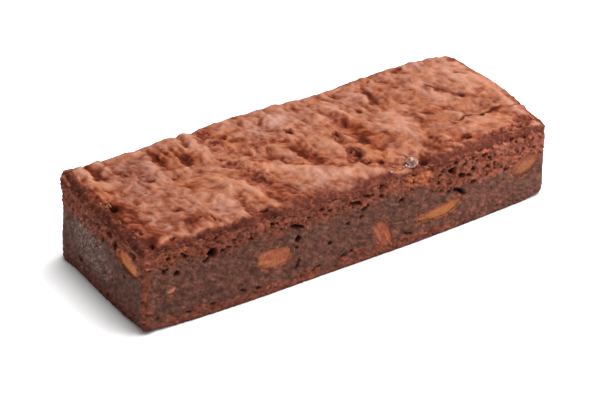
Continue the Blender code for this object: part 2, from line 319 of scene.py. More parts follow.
def crustMaterial():
    # browns by the piece's tone, its own colour mixed with painted light and shade, redder crumb where the
    # crust is broken, darker at the cut edge (partly painted shade where it rounds down) and painted shade in
    # pits; a faint sheen where the film is pale and whole
    look = crustLook
    material, shader, place = newMaterial("browned_crust")
    tone, broken, side, pit, dull = place.masks("tone", "broken", "side", "pit", "dull")
    speck, dots = place.grain(0.7, 3.0, 0.65) - 0.5, place.grain(0.35, 2.0, 0.6) - 0.5
    level = (tone + speck * 0.34 + dots * 0.08).held()
    papery = level.node("ShaderNodeValToRGB", {"stops": look["tones"]}, {0: level})
    papery = papery.tinted((dull * 0.5 + 0.5).held().mix(look["warmTint"], look["dullTint"]))
    crumbly = level.node("ShaderNodeValToRGB", {"stops": look["brokenTones"]}, {0: level})
    edge = ((place.grain(1.2, 3.0, 0.6) - 0.46) * 5.0).held().mix(look["side"], look["sideWarm"])
    colour = (broken * 1.3 + speck * broken).held().mix(papery, crumbly)
    colour = (side * 1.2 + speck * side * 1.6).held().mix(colour, edge)
    colour = pit.mix(colour, look["pit"])
    rough = (broken + side + pit).held() * (look["brokenRoughness"] - look["roughness"]) + look["roughness"]
    # fine creases of the papery film, drawn out along the folds
    turned = place.node("ShaderNodeMapping", {"vector_type": "TEXTURE"},
                        {"Vector": place, "Rotation": (0, 0, look["creaseLean"]),
                         "Scale": (1, look["creaseStretch"], 1)})
    creases = turned.grain(0.55, 3.0, 0.6) * (1.15 - tone).held() * 0.22
    height = place.grain(0.32, 3.0, 0.7) * (broken * 0.7 + side * 1.4).held() + creases
    feed(shader, {"Base Color": colour.tinted(dots * (side * 1.6 + broken * 0.5 + 0.12) + 1.0),
                  "Roughness": (rough + speck * 0.15).held(), "Specular IOR Level": look["specular"],
                  "Coat Weight": ((tone - 0.3) * 1.6 - broken - side - pit).held() * look["sheen"],
                  "Coat Roughness": look["sheenRoughness"], "Normal": height.bump(look["grainDepth"])})
    return material


# the pit colour is painted shade in air holes, pores and the gaps between crumbs
crumbLook = {
    "fudge": (0.07, 0.025, 0.016), "purple": (0.122, 0.045, 0.038), "olive": (0.104, 0.049, 0.031),
    "reddish": (0.172, 0.041, 0.022), "brown": (0.15, 0.049, 0.034), "orange": (0.29, 0.08, 0.026),
    "fleck": (0.3, 0.138, 0.092), "dust": (0.25, 0.18, 0.148), "pit": (0.01, 0.002, 0.001),
    "roughness": 0.6, "specular": 0.08, "grainDepth": 0.24,
}


def crumbMaterial():
    # dark fudge in three browns, warmer by its reddish and orange shares, with pale flecks and dust,
    # nearly black in holes as painted shade, all times its painted light and shade with knife streaks, and a
    # grain
    look = crumbLook
    material, shader, place = newMaterial("cut_crumb")
    reddish, dusty, pit, orange, shade, streak = place.masks(
        "reddish", "dusty", "pit", "orange", "shade", "streak")
    speck, lump = place.grain(0.6, 3.0, 0.65) - 0.5, place.grain(1.5, 3.0, 0.65) - 0.5
    shift = place.node("ShaderNodeMapping", {}, {"Vector": place, "Location": (0.3, 0.7, 0.2)})
    spots, patch = shift.grain(1.1, 2.0), shift.grain(2.6, 2.0) - 0.5
    colour = ((place.grain(4.0, 3.0) - 0.44) * 5.0).held().mix(look["olive"], look["purple"])
    colour = ((lump + 0.1) * 3.0).held().mix(look["fudge"], colour)
    warm = ((patch + 0.08) * 4.0).held().mix(look["reddish"], look["brown"])
    colour = (reddish + patch * 1.3 + speck * 0.8).held().mix(colour, warm)
    colour = (orange + speck * orange * 2.0).held().mix(colour, look["orange"])
    colour = (((spots - 0.66) * 5.0 + (streak - 0.5) * 1.5).held() * 0.7).mix(colour, look["fleck"])
    colour = (dusty * ((speck + 0.1) * 4.0).held()).held().mix(colour, look["dust"])
    colour = pit.mix(colour, look["pit"])
    rough = (pit + reddish * 0.5).held() * 0.25 + look["roughness"] + speck * 0.2
    feed(shader, {"Base Color": colour.tinted((speck * 1.3 + lump * 1.3 + 1.0) * shade),
                  "Roughness": rough.held(), "Specular IOR Level": look["specular"],
                  "Normal": place.grain(0.5, 3.0, 0.65).bump(look["grainDepth"])})
    return material


# the bar's plan and the height of its crust

bar = {
    "length": 125.0, "width": 43.7, "height": 24.0,
    # heights of the crust at the four corners
    "frontLeft": 24.3, "frontRight": 22.0, "backLeft": 25.3, "backRight": 24.8,
    # ways out of the sides' middles, then how far the front corners stand out along the bar
    "bulgeFront": 1.4, "bulgeBack": 1.2, "bulgeLeft": 0.6, "bulgeRight": 1.4,
    "skewRight": 0.8, "skewLeft": 0.6, "crown": 0.5,
    # the upright corners: side along, side across, radius
    "corners": ((-1, -1, 1.3), (1, -1, 2.0), (1, 1, 2.4), (-1, 1, 2.2)),
    "liftLeft": (1.1, 13.0), "liftRight": (1.3, 8.0), "liftDepth": 12.0,  # height, reach along x, reach back
    "rimDrop": 0.55, "rimReach": 0.9, "faceOffset": 0.05,
    "inset": (0.955, 0.87),  # shares of the plan along and across that the flat insides keep
    # notches of the crust's front edge: x, reach along x, depth
    "notches": ((-28.0, 2.4, 1.1), (15.5, 3.2, 0.8), (24.4, 3.0, 1.5), (50.0, 12.0, 0.9)),
    # small ripples all over: height, turns along x and y and start of one wave, turns of the other
    "ripples": ((0.16, 0.9, 0.35, 1.1, -0.2, 0.27), (0.1, 1.7, -0.5, 0.7, 0.31, 0.5)),
}
halfLength, halfWidth = bar["length"] / 2, bar["width"] / 2

# broad swells of the top: x, y, reach along x, reach along y, rise
swells = (
    (-58.5, 16, 5, 11, 1.1), (-45, 12, 6, 9, 0.7), (-44, -8, 14, 11, 0.4), (-7, 16, 12, 9, 0.9),
    (-6, -15, 10, 6, 0.4), (18, 19, 7, 7, -0.7), (26.5, -3, 6, 9, 0.9), (35, -15, 7, 5, 0.6),
    (48, 14, 9, 9, 1), (49, -13, 8, 5, 0.7), (60, 2, 5, 14, 0.5), (-33.6, 6.2, 1.5, 1.9, 0.6),
    (32.9, 14.6, 2, 2.8, 0.4), (55, -5, 3.6, 2.2, -0.35), (-8, 11.4, 5.5, 1.9, -0.45),
    (-50, 4.5, 4.5, 3, 0.25), (42, -3, 4, 3.4, -0.3), (-61, 20.5, 3.5, 3.5, 1.7), (36, 21, 12, 5, 1.2),
    (62.5, 20, 2.2, 2.8, -0.7), (-54, 22, 4, 3.5, 1), (-45.5, 22, 2.5, 3, 0.3), (-31, 22, 4, 3, 0.9),
    (-14, 22, 9, 3, 0.8), (2, 22, 5, 3, 1), (49, 22, 8, 3, 1), (62.5, 12.5, 2.5, 4.5, -1.3),
    (62, -6, 3, 9, 0.5),
)

# large folds of the crust: start x, y, end x, y, sideways bow, half width, rise
folds = (
    (-57.4, 25, -57, 8, 0.2, 1.2, 0.7), (-55.3, 20.5, -52.8, 10.5, -0.9, 1.5, -1.5),
    (-52.6, 26, -51.2, 12.5, 0.4, 0.8, 0.6), (-37.8, 22.5, -37, 8, 0.4, 1.7, -1.6),
    (-34.1, 21, -33.8, 6, 0.2, 0.9, 0.6), (-31.2, 18.5, -30.4, 5, -0.3, 2, -1.3),
    (-28.9, 23.5, -28.7, 12, 0, 0.8, 0.4), (-27.5, 24, -27.5, 14.5, 0, 0.7, -0.6),
    (-25.4, 26, -25, 4, 0.5, 1.3, 0.8), (-21.3, 27, -24, -4, -0.8, 1.9, -0.6),
    (-25, -0.5, -15.4, -11.5, -1, 2, -0.7), (-29.8, -6, -29.2, -27, 0.2, 1.8, -1),
    (-20.4, 2.4, -5.6, -10, 0.6, 1.7, 1), (-7, -9, 14, -23, 0.9, 2.1, 1.2),
    (-16.5, -5.5, -5.5, -19, 0.8, 2.6, -0.6), (-12.4, 4, -8, -6.5, 0.3, 2, -0.8),
    (-2.6, 4.6, -0.6, -11, -1.2, 2.2, -1.4), (4, 9, 5.2, -8, 0.4, 2.4, 0.5),
    (1.4, -4.4, 10, -14.8, -0.4, 1.4, -0.7), (8.2, -4.4, 10, -12.6, 0, 1.5, -1.1),
    (8.2, -10, 13.4, -17, 0, 1.3, -0.7), (7.6, -2.2, 11.2, 4.6, 0, 0.8, -0.4),
    (10.8, 15.5, 15.8, -2, 1.1, 1.7, -0.7), (12.8, 18, 18.4, 3, 1.3, 1.5, 0.5),
    (14.8, -1.6, 14, -7.6, 0, 1.7, -0.4), (19.9, 23.5, 21, 14.5, 0.1, 1, -0.9),
    (29.2, 20, 27.6, 6.5, 0.7, 1.6, -0.9), (33.4, 20.6, 38.4, 12.6, -0.7, 1.3, -0.5),
    (33.8, 2.6, 30.6, -13.5, 0.5, 1.5, -0.6), (31.8, -10.5, 26.5, -22, 0.4, 2.1, -0.9),
    (45.4, 9.4, 52.6, -0.4, 0.4, 1.4, -0.5), (42.4, 11, 49.8, 0, 0.5, 1.5, 0.4),
    (-58.9, 3, -58.8, -2.6, 0, 1.2, -1.1), (-58.4, -16, -58.9, -24, 0, 1.1, -1),
    (22.4, -15.5, 24.6, -27, 0.3, 2.1, -2.4), (-49, 1.5, -50, -16, 1.2, 2.4, 0.4),
    (-41.6, 2, -42.6, -19, 1, 2.2, 0.3), (40, 10, 42, -6, 0.6, 2.4, 0.3),
)


def roundCorners(x, y):
    # each upright corner of the plan is drawn in to an arc of its own radius
    for sideX, sideY, radius in bar["corners"]:
        u = (x * sideX - (halfLength - radius)) / radius
        v = (y * sideY - (halfWidth - radius)) / radius
        inside = (u > 0) & (v > 0)
        u, v = np.clip(u, 0, 1), np.clip(v, 0, 1)
        pulledU, pulledV = u * np.sqrt(1 - v * v / 2), v * np.sqrt(1 - u * u / 2)
        x = np.where(inside, sideX * (halfLength - radius + radius * pulledU), x)
        y = np.where(inside, sideY * (halfWidth - radius + radius * pulledV), y)
    return x, y


def planPoint(s, t):
    # shares from -1 to 1 along and across the bar, bulged outwards as 1 - share squared
    x, y = roundCorners(s * halfLength, t * halfWidth)
    y = y + np.where(t > 0, bar["bulgeBack"], bar["bulgeFront"]) * t * (1 - s * s)
    x = x + np.where(s > 0, bar["bulgeRight"], bar["bulgeLeft"]) * s * (1 - t * t)
    return x + np.where(s > 0, bar["skewRight"], bar["skewLeft"]) * s * (1 - t) / 2, y


def rimOut(x, y):
    # outward direction at each point of the plan's closed outline
    runX, runY = np.roll(x, -1) - np.roll(x, 1), np.roll(y, -1) - np.roll(y, 1)
    run = np.hypot(runX, runY)
    return runY / run, -runX / run


def alongLine(x, y, x0, y0, x1, y1):
    # share of the way along a line and signed distance across it
    runX, runY = x1 - x0, y1 - y0
    run = math.hypot(runX, runY)
    along = ((x - x0) * runX + (y - y0) * runY) / run
    return np.clip(along / run, 0, 1), ((y - y0) * runX - (x - x0) * runY) / run


def crustHeight(x, y, foldShare=0.7):
    # corner heights and a crown, plus bells for the swells and, for the folds, bells across bowed
    # lines that die away towards both ends
    u = np.clip(x / bar["length"] + 0.5, 0, 1)
    v = np.clip(y / bar["width"] + 0.5, 0, 1)
    z = (bar["frontLeft"] * (1 - u) + bar["frontRight"] * u) * (1 - v)
    z = z + (bar["backLeft"] * (1 - u) + bar["backRight"] * u) * v
    z = z + bar["crown"] * (1 - (2 * u - 1) ** 4) * (1 - (2 * v - 1) ** 4)
    for *oval, rise in swells:
        z = z + foldShare * rise * hill(x, y, *oval)
    for *line, bow, wide, rise in folds:
        share, across = alongLine(x, y, *line)
        arch = 4 * share * (1 - share)
        z = z + foldShare * rise * arch ** 0.8 * bell(across, bow * arch, wide)
    for rise, a, b, start, c, d in bar["ripples"]:
        z = z + rise * np.sin(a * x + b * y + start) * np.sin(c * x + d * y)
    return z


def notchDepth(x):
    # how far the front edge of the crust is broken back: a bell along x for each notch
    return sum(back * bell(x, place, reach) for place, reach, back in bar["notches"])


def floorLift(x, y):
    # the bottom edge leaves the table near both front corners, as a share of the way to the power 1.5
    lift = 0.0
    for side, (high, reach) in ((x, bar["liftLeft"]), (-x, bar["liftRight"])):
        lift = lift + np.clip(1 - (halfLength + side) / reach, 0, 1) ** 1.5 * high
    return lift * np.clip(1 - (y + halfWidth + bar["bulgeFront"]) / bar["liftDepth"], 0, 1)


# the crust: plates, creases, broken places, pits and cracks

crust = {
    "cellsAlong": 476, "cellsAcross": 168,
    "warp": 0.55, "lean": math.radians(22),
    # breadth, length, height of the wrinkles; size, height of the bubbles; size, share of the film
    "wrinkles": ((4.2, 9.0, 0.14), (1.9, 4.2, 0.075)), "hairlines": (2.8, 5.6, 0.04),
    "bubbles": ((2.6, 0.13), (1.4, 0.085), (0.75, 0.03)),
    "film": ((7.5, 0.12), (3.6, 0.23), (1.8, 0.26), (0.95, 0.12)), "filmStretch": (0.85, 1.2),
    "crumbSizes": (1.5, 0.7), "holeSize": 2.3, "holeDepth": 0.25,
    "brokenDrop": 0.28, "brokenRoughness": 0.46,
    "rollOff": 0.65, "rollReach": 2.2, "settle": 0.15, "bore": 1.2,
    # tone of the middle, then how far heights above or below their neighbours change it, a painted
    # highlight on rises and painted shade in hollows: reach in cells, height, share, least, most
    "meanTone": 0.588,
    "contrast": ((1, 0.05, 0.03, -3, 3), (3, 0.15, 0.06, -2, 2), (10, 0.6, 0.12, -1.5, 0.8)),
    # breadth of the dark margin, painted shade where the crust rounds down mixed with the cut edge's own
    # purple-brown, changed by bells and steps along x: place, reach, how much
    "margin": 2.1,
    "marginBells": ((-15, 11, 1.3), (15.5, 2.6, -1.4), (4, 6, 0.9), (62, 2.5, -1.2)),
    "marginSteps": ((17, 6, 1.6), (48, 8, -0.8), (-20, -4, 0.5)),
    # rows down the cut edge: drop, way out
    "sideRows": ((0.1, 0.08), (0.26, 0.11), (0.44, 0.12), (0.63, 0.1), (0.82, 0.08), (1.02, 0.04),
                 (1.22, -0.02), (1.4, -0.12), (1.46, -0.45)),
    "sideInset": 0.07, "underside": 16.0,
}

# fine ridges and creases: rise, reach to the left and to the right of the line, then its points
creaseLines = (
    (0.6, 0.5, 0.5, (-52.9, 21.5), (-52.3, 17.5), (-51.2, 14.5)),
    (0.6, 1.8, 0.6, (-39.2, 18.5), (-39.9, 13), (-41.3, 5)),
    (0.6, 0.5, 0.5, (-33.9, 18.5), (-34.2, 13), (-34, 9)), (0.35, 0.4, 0.4, (-35.2, 16.5), (-34.9, 11.5)),
    (0.45, 0.4, 0.4, (-29.2, 20.9), (-29, 15)), (-0.7, 0.5, 0.5, (-27.3, 20.8), (-27.3, 16)),
    (0.7, 2.4, 0.6, (-27.6, -1), (-27.3, -4), (-29.5, -9.6), (-30.8, -15), (-32.2, -20.6)),
    (0.55, 1, 0.9, (-26.2, -5), (-24.6, -10), (-22.8, -17)), (0.5, 0.5, 0.5, (-12.8, 6.6), (-14.6, 3.8)),
    (0.4, 0.4, 0.4, (-17.6, 8.8), (-18.4, 5.6)), (0.35, 0.4, 0.4, (-15.6, 9.4), (-15.9, 6.8)),
    (-0.3, 0.3, 0.4, (-6.2, 15.7), (-3.2, 15.5)), (-0.35, 0.5, 0.6, (-6.7, 19.6), (-6.7, 16.2)),
    (0.6, 1.8, 1.1, (-19.5, 1.2), (-14.2, -4.6), (-7.4, -8.8), (-2.9, -11.4), (0.8, -14.9), (10.6, -20.5)),
    (0.3, 0.5, 0.6, (2.3, 3.5), (2, -1), (2.9, -5)), (0.28, 0.4, 0.5, (4.2, 2.5), (4, -3)),
    (0.32, 0.5, 0.5, (6.4, 1), (6.2, -3), (6.9, -5.6)), (0.4, 0.3, 0.35, (0.3, 0.6), (0.5, -3)),
    (0.35, 0.4, 0.4, (10.6, 12.5), (12.8, 7.5)), (0.4, 0.6, 0.8, (14.2, 15.4), (16.9, 10.6), (17.5, 6)),
    (-0.5, 0.6, 0.6, (21.8, 9), (21.8, 6.6)), (-0.4, 0.7, 0.7, (28.9, 16.8), (29.6, 12.8), (27.8, 9)),
    (-0.4, 0.6, 0.6, (34.7, 18.9), (36.9, 16.6), (38, 13.8)),
    (-0.5, 0.5, 0.5, (45.4, 10), (48, 6.2), (51.2, 1.6)), (0.3, 0.4, 0.4, (48, 9), (52.8, 2.6)),
    (0.25, 0.3, 0.3, (46.5, 5), (49.6, 0.8)), (0.5, 0.4, 0.5, (-59.4, 10), (-59.1, 6), (-59.6, 2)),
    (0.45, 0.4, 0.4, (-57.9, 9.5), (-57.6, 5), (-57.9, 2.2)), (0.4, 0.3, 0.4, (-60.5, 12), (-60.2, 7.5)),
    (-0.4, 0.4, 0.4, (-58.6, 9.5), (-58.4, 4)),
)

# the ovals below are x, y, reach x, reach y, amount and, where there is one, the turn

# places where the crust is gone and the crumb shows
brokenPlaces = (
    (-20.8, 14, 2.1, 7, 0.7, 6), (-19.4, -4.5, 2.2, 5.8, 0.8, -38), (-22.5, 2.5, 1.8, 5.2, 0.8, 25),
    (-15.5, 6, 4.4, 3.2, 0.6), (-29.2, -15.5, 1.4, 5, 0.6), (-4.8, 6.6, 2.8, 1.8, 0.6),
    (6.6, -10.8, 1.3, 4.6, 0.6, -38), (13.9, -18.7, 3.8, 2.4, 1, -12), (9.3, -8.6, 1.7, 3.6, 0.9, 8),
    (52.5, -18.6, 9.5, 1.3, 0.8, 3), (62.2, 6, 1, 12, 0.4), (58, -16.5, 3.2, 1.8, 0.7),
    (-60.2, 6, 1.2, 5.5, 0.4), (-60.6, -12, 1.4, 9, 0.7), (-54, -20.4, 6, 1, 0.7),
    (34.4, -17.6, 2.8, 1.9, 0.7), (14.2, -4.6, 1.8, 1.9, 1), (24, -20, 2.2, 2, 0.9),
    (-6.9, -6.7, 1.4, 1.2, 0.7, -30), (9.4, 0.2, 1.6, 3, 0.6, -15), (62.2, -10, 1, 9, 0.4),
    (-0.5, 8.3, 1.3, 2.1, 0.7), (9.2, -13.8, 1.6, 1.5, 0.8), (58.2, 11.6, 1.6, 1.6, 0.5),
    (57, 1, 2, 1.5, 0.5, 20), (-34, 15, 0.9, 3.4, 0.4), (-37.8, -18.6, 3.6, 1.6, 0.4),
)

# lighter (above 0) and darker (below 0) parts: the crust's own tones, with painted shade in hollows, folds
# and along the front edge and painted highlights on slopes that face the light
toneLightShadePatches = (
    (-57.6, 16, 1, 4, 0.3), (-54.9, 17.4, 1.6, 4.6, -0.42), (-53.2, 13.8, 1.3, 1.2, -0.2, -30),
    (-52.3, 15.6, 0.6, 2.8, 0.24, -24), (-61, 13, 1.5, 4.4, -0.34), (-61.6, -5, 1.6, 17, -0.48),
    (-58.7, 0, 1.7, 2.6, -0.7), (-54.2, 10.8, 2.6, 1.9, 0.22), (-57.9, 7, 1.5, 2, -0.24),
    (-58.2, 5.4, 0.7, 3.6, 0.16, 4), (-59.7, 5, 0.5, 3.8, -0.2, 4), (-59.6, 9.6, 1.5, 2.4, -0.2),
    (-60.8, -16, 1.4, 3, -0.24), (-45.5, 12.5, 4.8, 6, -0.2), (-41, 10, 0.8, 6, 0.16, -12),
    (-50, 17, 2, 2.6, -0.16), (-50.5, 4.2, 3.6, 1.8, -0.2), (-47.6, -2, 3, 2.2, -0.14),
    (-44.3, 5.5, 1.8, 0.8, -0.26, -8), (-58.2, -7.6, 3.2, 8.8, -0.42), (-48, -7.2, 2.6, 2.4, -0.12),
    (-54.4, -16.6, 3.4, 2.8, -0.2), (-58.9, -18.8, 2.9, 3, -0.6), (-50, -11.6, 2.6, 2.4, -0.04),
    (-45.9, -9.9, 1.4, 1.1, -0.42), (-44.4, -15.4, 3.4, 3, -0.34), (-37.6, 14.8, 1.8, 4.2, -0.46, 2),
    (-39, 18.8, 1.6, 1.4, -0.14), (-30.8, 10.8, 2.4, 3.8, -0.4, 4), (-32.4, 15.6, 1.6, 3.2, -0.26),
    (-35, 15.6, 0.6, 3.4, 0.02), (-34, 15, 0.7, 3.6, -0.36), (-32.9, 16.6, 0.6, 3, 0.16),
    (-33.6, 6.2, 0.9, 1.3, 0.34), (-27.7, 17.6, 0.8, 2.8, -0.12), (-25.4, 14.6, 1.1, 6.4, 0.32, -2),
    (-29.8, 18.4, 1, 2.4, 0.1), (-36, -1.4, 2.4, 2, -0.16), (-8.6, 5, 2.6, 3, -0.18, 20),
    (-7.4, -11.6, 2.4, 1.5, 0.2, -30), (-3.9, 4.8, 1.8, 1.4, -0.26), (-38.4, 3.2, 1.6, 1.4, -0.16),
    (-38, -7.6, 3.8, 3.2, 0.1), (-33.4, -12.6, 3, 5.6, 0.16, 6), (-28.6, -3.2, 2.2, 3.2, 0.14, 20),
    (-29.6, -9, 1.8, 2.6, 0.22, 10), (-30.4, 4, 2.2, 1.8, -0.18), (-29.6, -14.6, 1.5, 5.4, -0.24, -4),
    (-24.2, -11, 1.2, 5.4, 0.36, 14), (-39.6, -17.2, 0.8, 2, -0.32), (-33, 3, 2.6, 1.6, -0.1),
    (-21.4, 14.4, 1.5, 4, 0.22, 4), (-19.6, 19.6, 4, 2.4, -0.32), (-19.4, 12.4, 0.8, 2, -0.24, 20),
    (-22.6, 4.6, 1.3, 3.2, -0.12, 24), (-20.4, -5.6, 1.5, 4.6, -0.22, 34), (-18.2, -8.8, 1.7, 2.4, -0.24, 40),
    (-17.6, 14.4, 1.1, 1.3, -0.34), (-7, 11.4, 4.4, 2, -0.1), (1, 15, 4.6, 2.6, 0.26, 10),
    (-0.6, 8.2, 1.1, 1.8, -0.46), (-10.6, -1.6, 1.9, 3.4, -0.32, 28), (-6.8, -6.6, 1.2, 1, 0.25, -40),
    (-14.6, 4.8, 0.8, 2, 0.26, 24), (-12.6, 8.6, 2.6, 1.6, -0.12), (-14.4, 11.4, 2.6, 1.6, -0.42),
    (-1.2, -4.6, 2.1, 5.6, -0.42, 8), (-3.7, -0.9, 1, 3.2, -0.8, 4), (-15.4, -3.6, 1.5, 5.4, 0.4, 50),
    (-8.5, -6.6, 1.3, 1.1, -0.34, 40), (-7.6, -9.2, 1.6, 3.6, 0.26, 62), (-3, -14.6, 3.8, 2, 0.22, -18),
    (-0.4, -11.7, 1.7, 1.1, -0.46, 20), (4, -17.6, 1.8, 5.4, 0.34, 66), (-17.6, -15, 4.6, 4.4, -0.36, 20),
    (-5.4, -15.8, 2.2, 1.5, 0.2, -20), (4, 0, 1.6, 4.8, 0.16, 6), (9.4, 0.6, 1.2, 2.4, -0.34, -20),
    (9.4, -8.6, 1.5, 2.8, -0.46, -8), (5.8, -11, 1.2, 4, -0.2, 42), (12.2, -15.4, 1.1, 1.1, -0.45),
    (9, -13.8, 1.2, 1.1, -0.3), (13, 10, 1.6, 4.2, -0.02, 26), (14.8, 5.4, 1.8, 3.4, -0.34, 6),
    (16, -3, 2.3, 5, -0.66, -6), (16.2, -10.2, 2.2, 1.8, -0.24), (17, 10.6, 1, 4.6, 0.3, 20),
    (20.4, 18.6, 1, 2.4, -0.34, 8), (23.6, 12.6, 2.6, 3, -0.12), (16.7, 16.2, 1.6, 2, 0.22, 20),
    (29.3, 14, 1.2, 3.6, -0.38, -6), (27.6, 9.6, 1.4, 1.2, -0.12), (36.2, 16.8, 1.1, 3, -0.04, 32),
    (33, 14.6, 1.4, 2.2, -0.14), (8, 17.5, 2.5, 2.5, -0.14), (5.9, -2.4, 1.3, 3.4, 0.18, 10),
    (-16.7, -19.6, 3.4, 1.6, -0.3), (-25.2, -20.2, 2.4, 1.4, -0.5), (15.4, -20.8, 1.8, 1.4, 0.36, -10),
    (61, -20.4, 1.4, 1.8, 0.55), (17, -21, 1.6, 1.2, 0.2), (-25.6, -17.4, 2, 2, -0.2),
    (27, -2.6, 3.8, 6, 0.22), (33.3, -3.5, 1.2, 4, -0.22, -6), (42.6, 10.9, 1.5, 1.5, 0.36),
    (37.6, 3.4, 2.6, 3, -0.12), (39, -2.2, 2, 1.8, -0.2), (29, 2, 1.8, 2.4, 0.16), (51, 15.8, 5, 4.2, 0.2),
    (57.8, 8.4, 4.2, 9, 0.28), (48.2, 5.6, 1, 4.6, -0.18, 38), (51.3, 1.3, 1.5, 1.2, -0.45, 40),
    (45.2, 3.4, 1.9, 4.8, 0.22, 36), (47.9, -4, 2.2, 1.8, 0.18), (54.4, -0.8, 1.4, 1, -0.24, 30),
    (57.6, 1.3, 1.4, 1.2, -0.28), (55.5, -5, 3.2, 1.8, -0.14), (47.5, -12.8, 5.6, 2.8, 0.14),
    (39.6, -17, 1.8, 1.2, -0.5), (30.2, -16.6, 3, 3.2, -0.3, 20), (30.8, -12.2, 1.2, 0.9, -0.3),
    (61, -8, 1.6, 5, 0.36), (61.9, 4, 1.4, 6.6, 0.4), (-55.4, -4.8, 1.8, 2, -0.2),
    (-43, -21.8, 3.4, 1.8, -0.5), (-25, -21.8, 2.8, 1.8, -0.5), (27.6, -21.6, 3, 1.4, -0.25),
    (-50.5, -21.6, 2.4, 1.4, -0.2), (-11.5, -21.8, 3.8, 1.9, -0.5), (6.8, -21.6, 2.4, 1.8, -0.3),
    (29.3, 21, 2, 1.4, -0.2), (23.1, 21, 2.2, 1.2, 0.2), (-56.5, 21, 2.5, 1.2, -0.18),
    (-36.5, 18.8, 2, 1.6, -0.18), (55.3, -7.4, 1.8, 1.8, -0.14), (39.9, 0.6, 1.8, 1.8, -0.14),
    (24.3, -1.2, 1.8, 1.8, -0.14), (-48, -14, 7, 6, -0.06), (5.6, -18.4, 2.6, 2, -0.3),
    (-9.5, -19.6, 4.2, 1.8, -0.26, -8), (-13.3, -3.2, 2, 2, -0.18), (-35, -10.6, 2.4, 2.4, -0.14),
    (62.3, -16, 1.4, 2.4, -0.2), (59.8, -17.4, 2.4, 1.8, -0.24), (52, -19, 8, 0.9, -0.24, 2),
    (24.4, -19.2, 2.2, 2.2, -0.5), (21.8, 7.8, 0.9, 1.6, -0.24), (43.6, 20.2, 1, 0.8, -0.4),
    (45.2, 9.6, 0.9, 1.2, -0.28, 30), (57.6, 11.9, 1, 0.9, -0.4), (49.8, -9.9, 1, 0.7, -0.3),
    (55, -9.2, 2.6, 1.2, -0.5, 10), (20.6, -9.4, 2.6, 3.4, -0.08), (21.6, -3.6, 1.2, 3.8, -0.1),
    (60.4, 18.6, 1.6, 2, -0.36), (37.6, -9.6, 1.6, 3.4, 0.08, 10), (-24.5, -21.6, 2.4, 1.6, -0.2),
    (-42.7, -21.6, 3, 1.6, -0.22), (-56.5, 21.2, 2.2, 1.4, -0.18), (-49.5, 6.4, 2.2, 1.8, -0.2),
    (62.5, -6, 1.6, 2.4, -0.18), (-14.5, 9.4, 2, 1.8, -0.18), (2.3, -14.4, 2, 1.6, -0.16),
    (23.3, -17.8, 2.2, 1.6, -0.16), (-56.9, 4, 1.8, 2, -0.16), (13.1, -0.4, 1.8, 2.2, -0.18),
    (-30.1, 12.6, 1.8, 2, -0.16), (-60.1, -16, 2, 2.4, -0.2), (17.7, -7.2, 1.6, 1.8, -0.16),
    (-35.7, 8, 2, 1.8, -0.16), (-15.5, 0.6, 1.8, 1.8, -0.16),
)

# duller, greyer parts of the film, and warmer ones (below 0)
dullPatches = (
    (-45.5, 12, 6, 8, 0.9), (-50.5, 3, 4.5, 3, 0.5), (-50, -11, 7, 6, 0.35), (-34, -14, 4, 6, 0.5),
    (-7, 11.4, 5.5, 2.6, 0.8), (0, 15, 5, 3, 0.9), (24, 14.5, 4, 5.5, 0.4), (-4, -13.5, 7, 3.5, 0.5, -20),
    (-10, -17, 6, 3, 0.7), (-59, -6, 3.6, 17, -0.4), (55.5, -5, 3.4, 2, 0.4), (-33.4, 13, 5, 5, -0.9),
    (26, -3, 4, 8, 0.2), (-46, 3, 15, 19, 0.25), (0, 15, 26, 8, 0.3), (50, 11, 12, 11, 0.35),
    (-17, -15, 9, 6, -0.2), (11, -12, 6, 8, -0.8), (38, -18, 5, 3, -0.8), (-6.5, -6.6, 2, 2, -1),
    (-19, 3, 5, 12, -0.5), (15.8, -1, 2.8, 9, -1.4), (9.8, 0.4, 1.6, 3, -1.2), (-36, -1, 3.4, 3, -0.9),
    (-0.4, -11.6, 2, 1.6, -1.3), (9.2, -14.6, 2.2, 2.6, -1.2), (55, -9.2, 3, 2, -1.2),
    (-18.2, 15, 2.6, 5, -1), (-4.2, 5.4, 2.6, 2, -0.9), (-55, 21, 2, 2.5, -0.9), (-58, 5.6, 2, 4, -1),
    (56.6, -2, 2.2, 2, -0.9), (36.8, 2.6, 2.6, 2.4, -0.6), (-2.4, -2.4, 2.4, 4.5, -0.9),
)

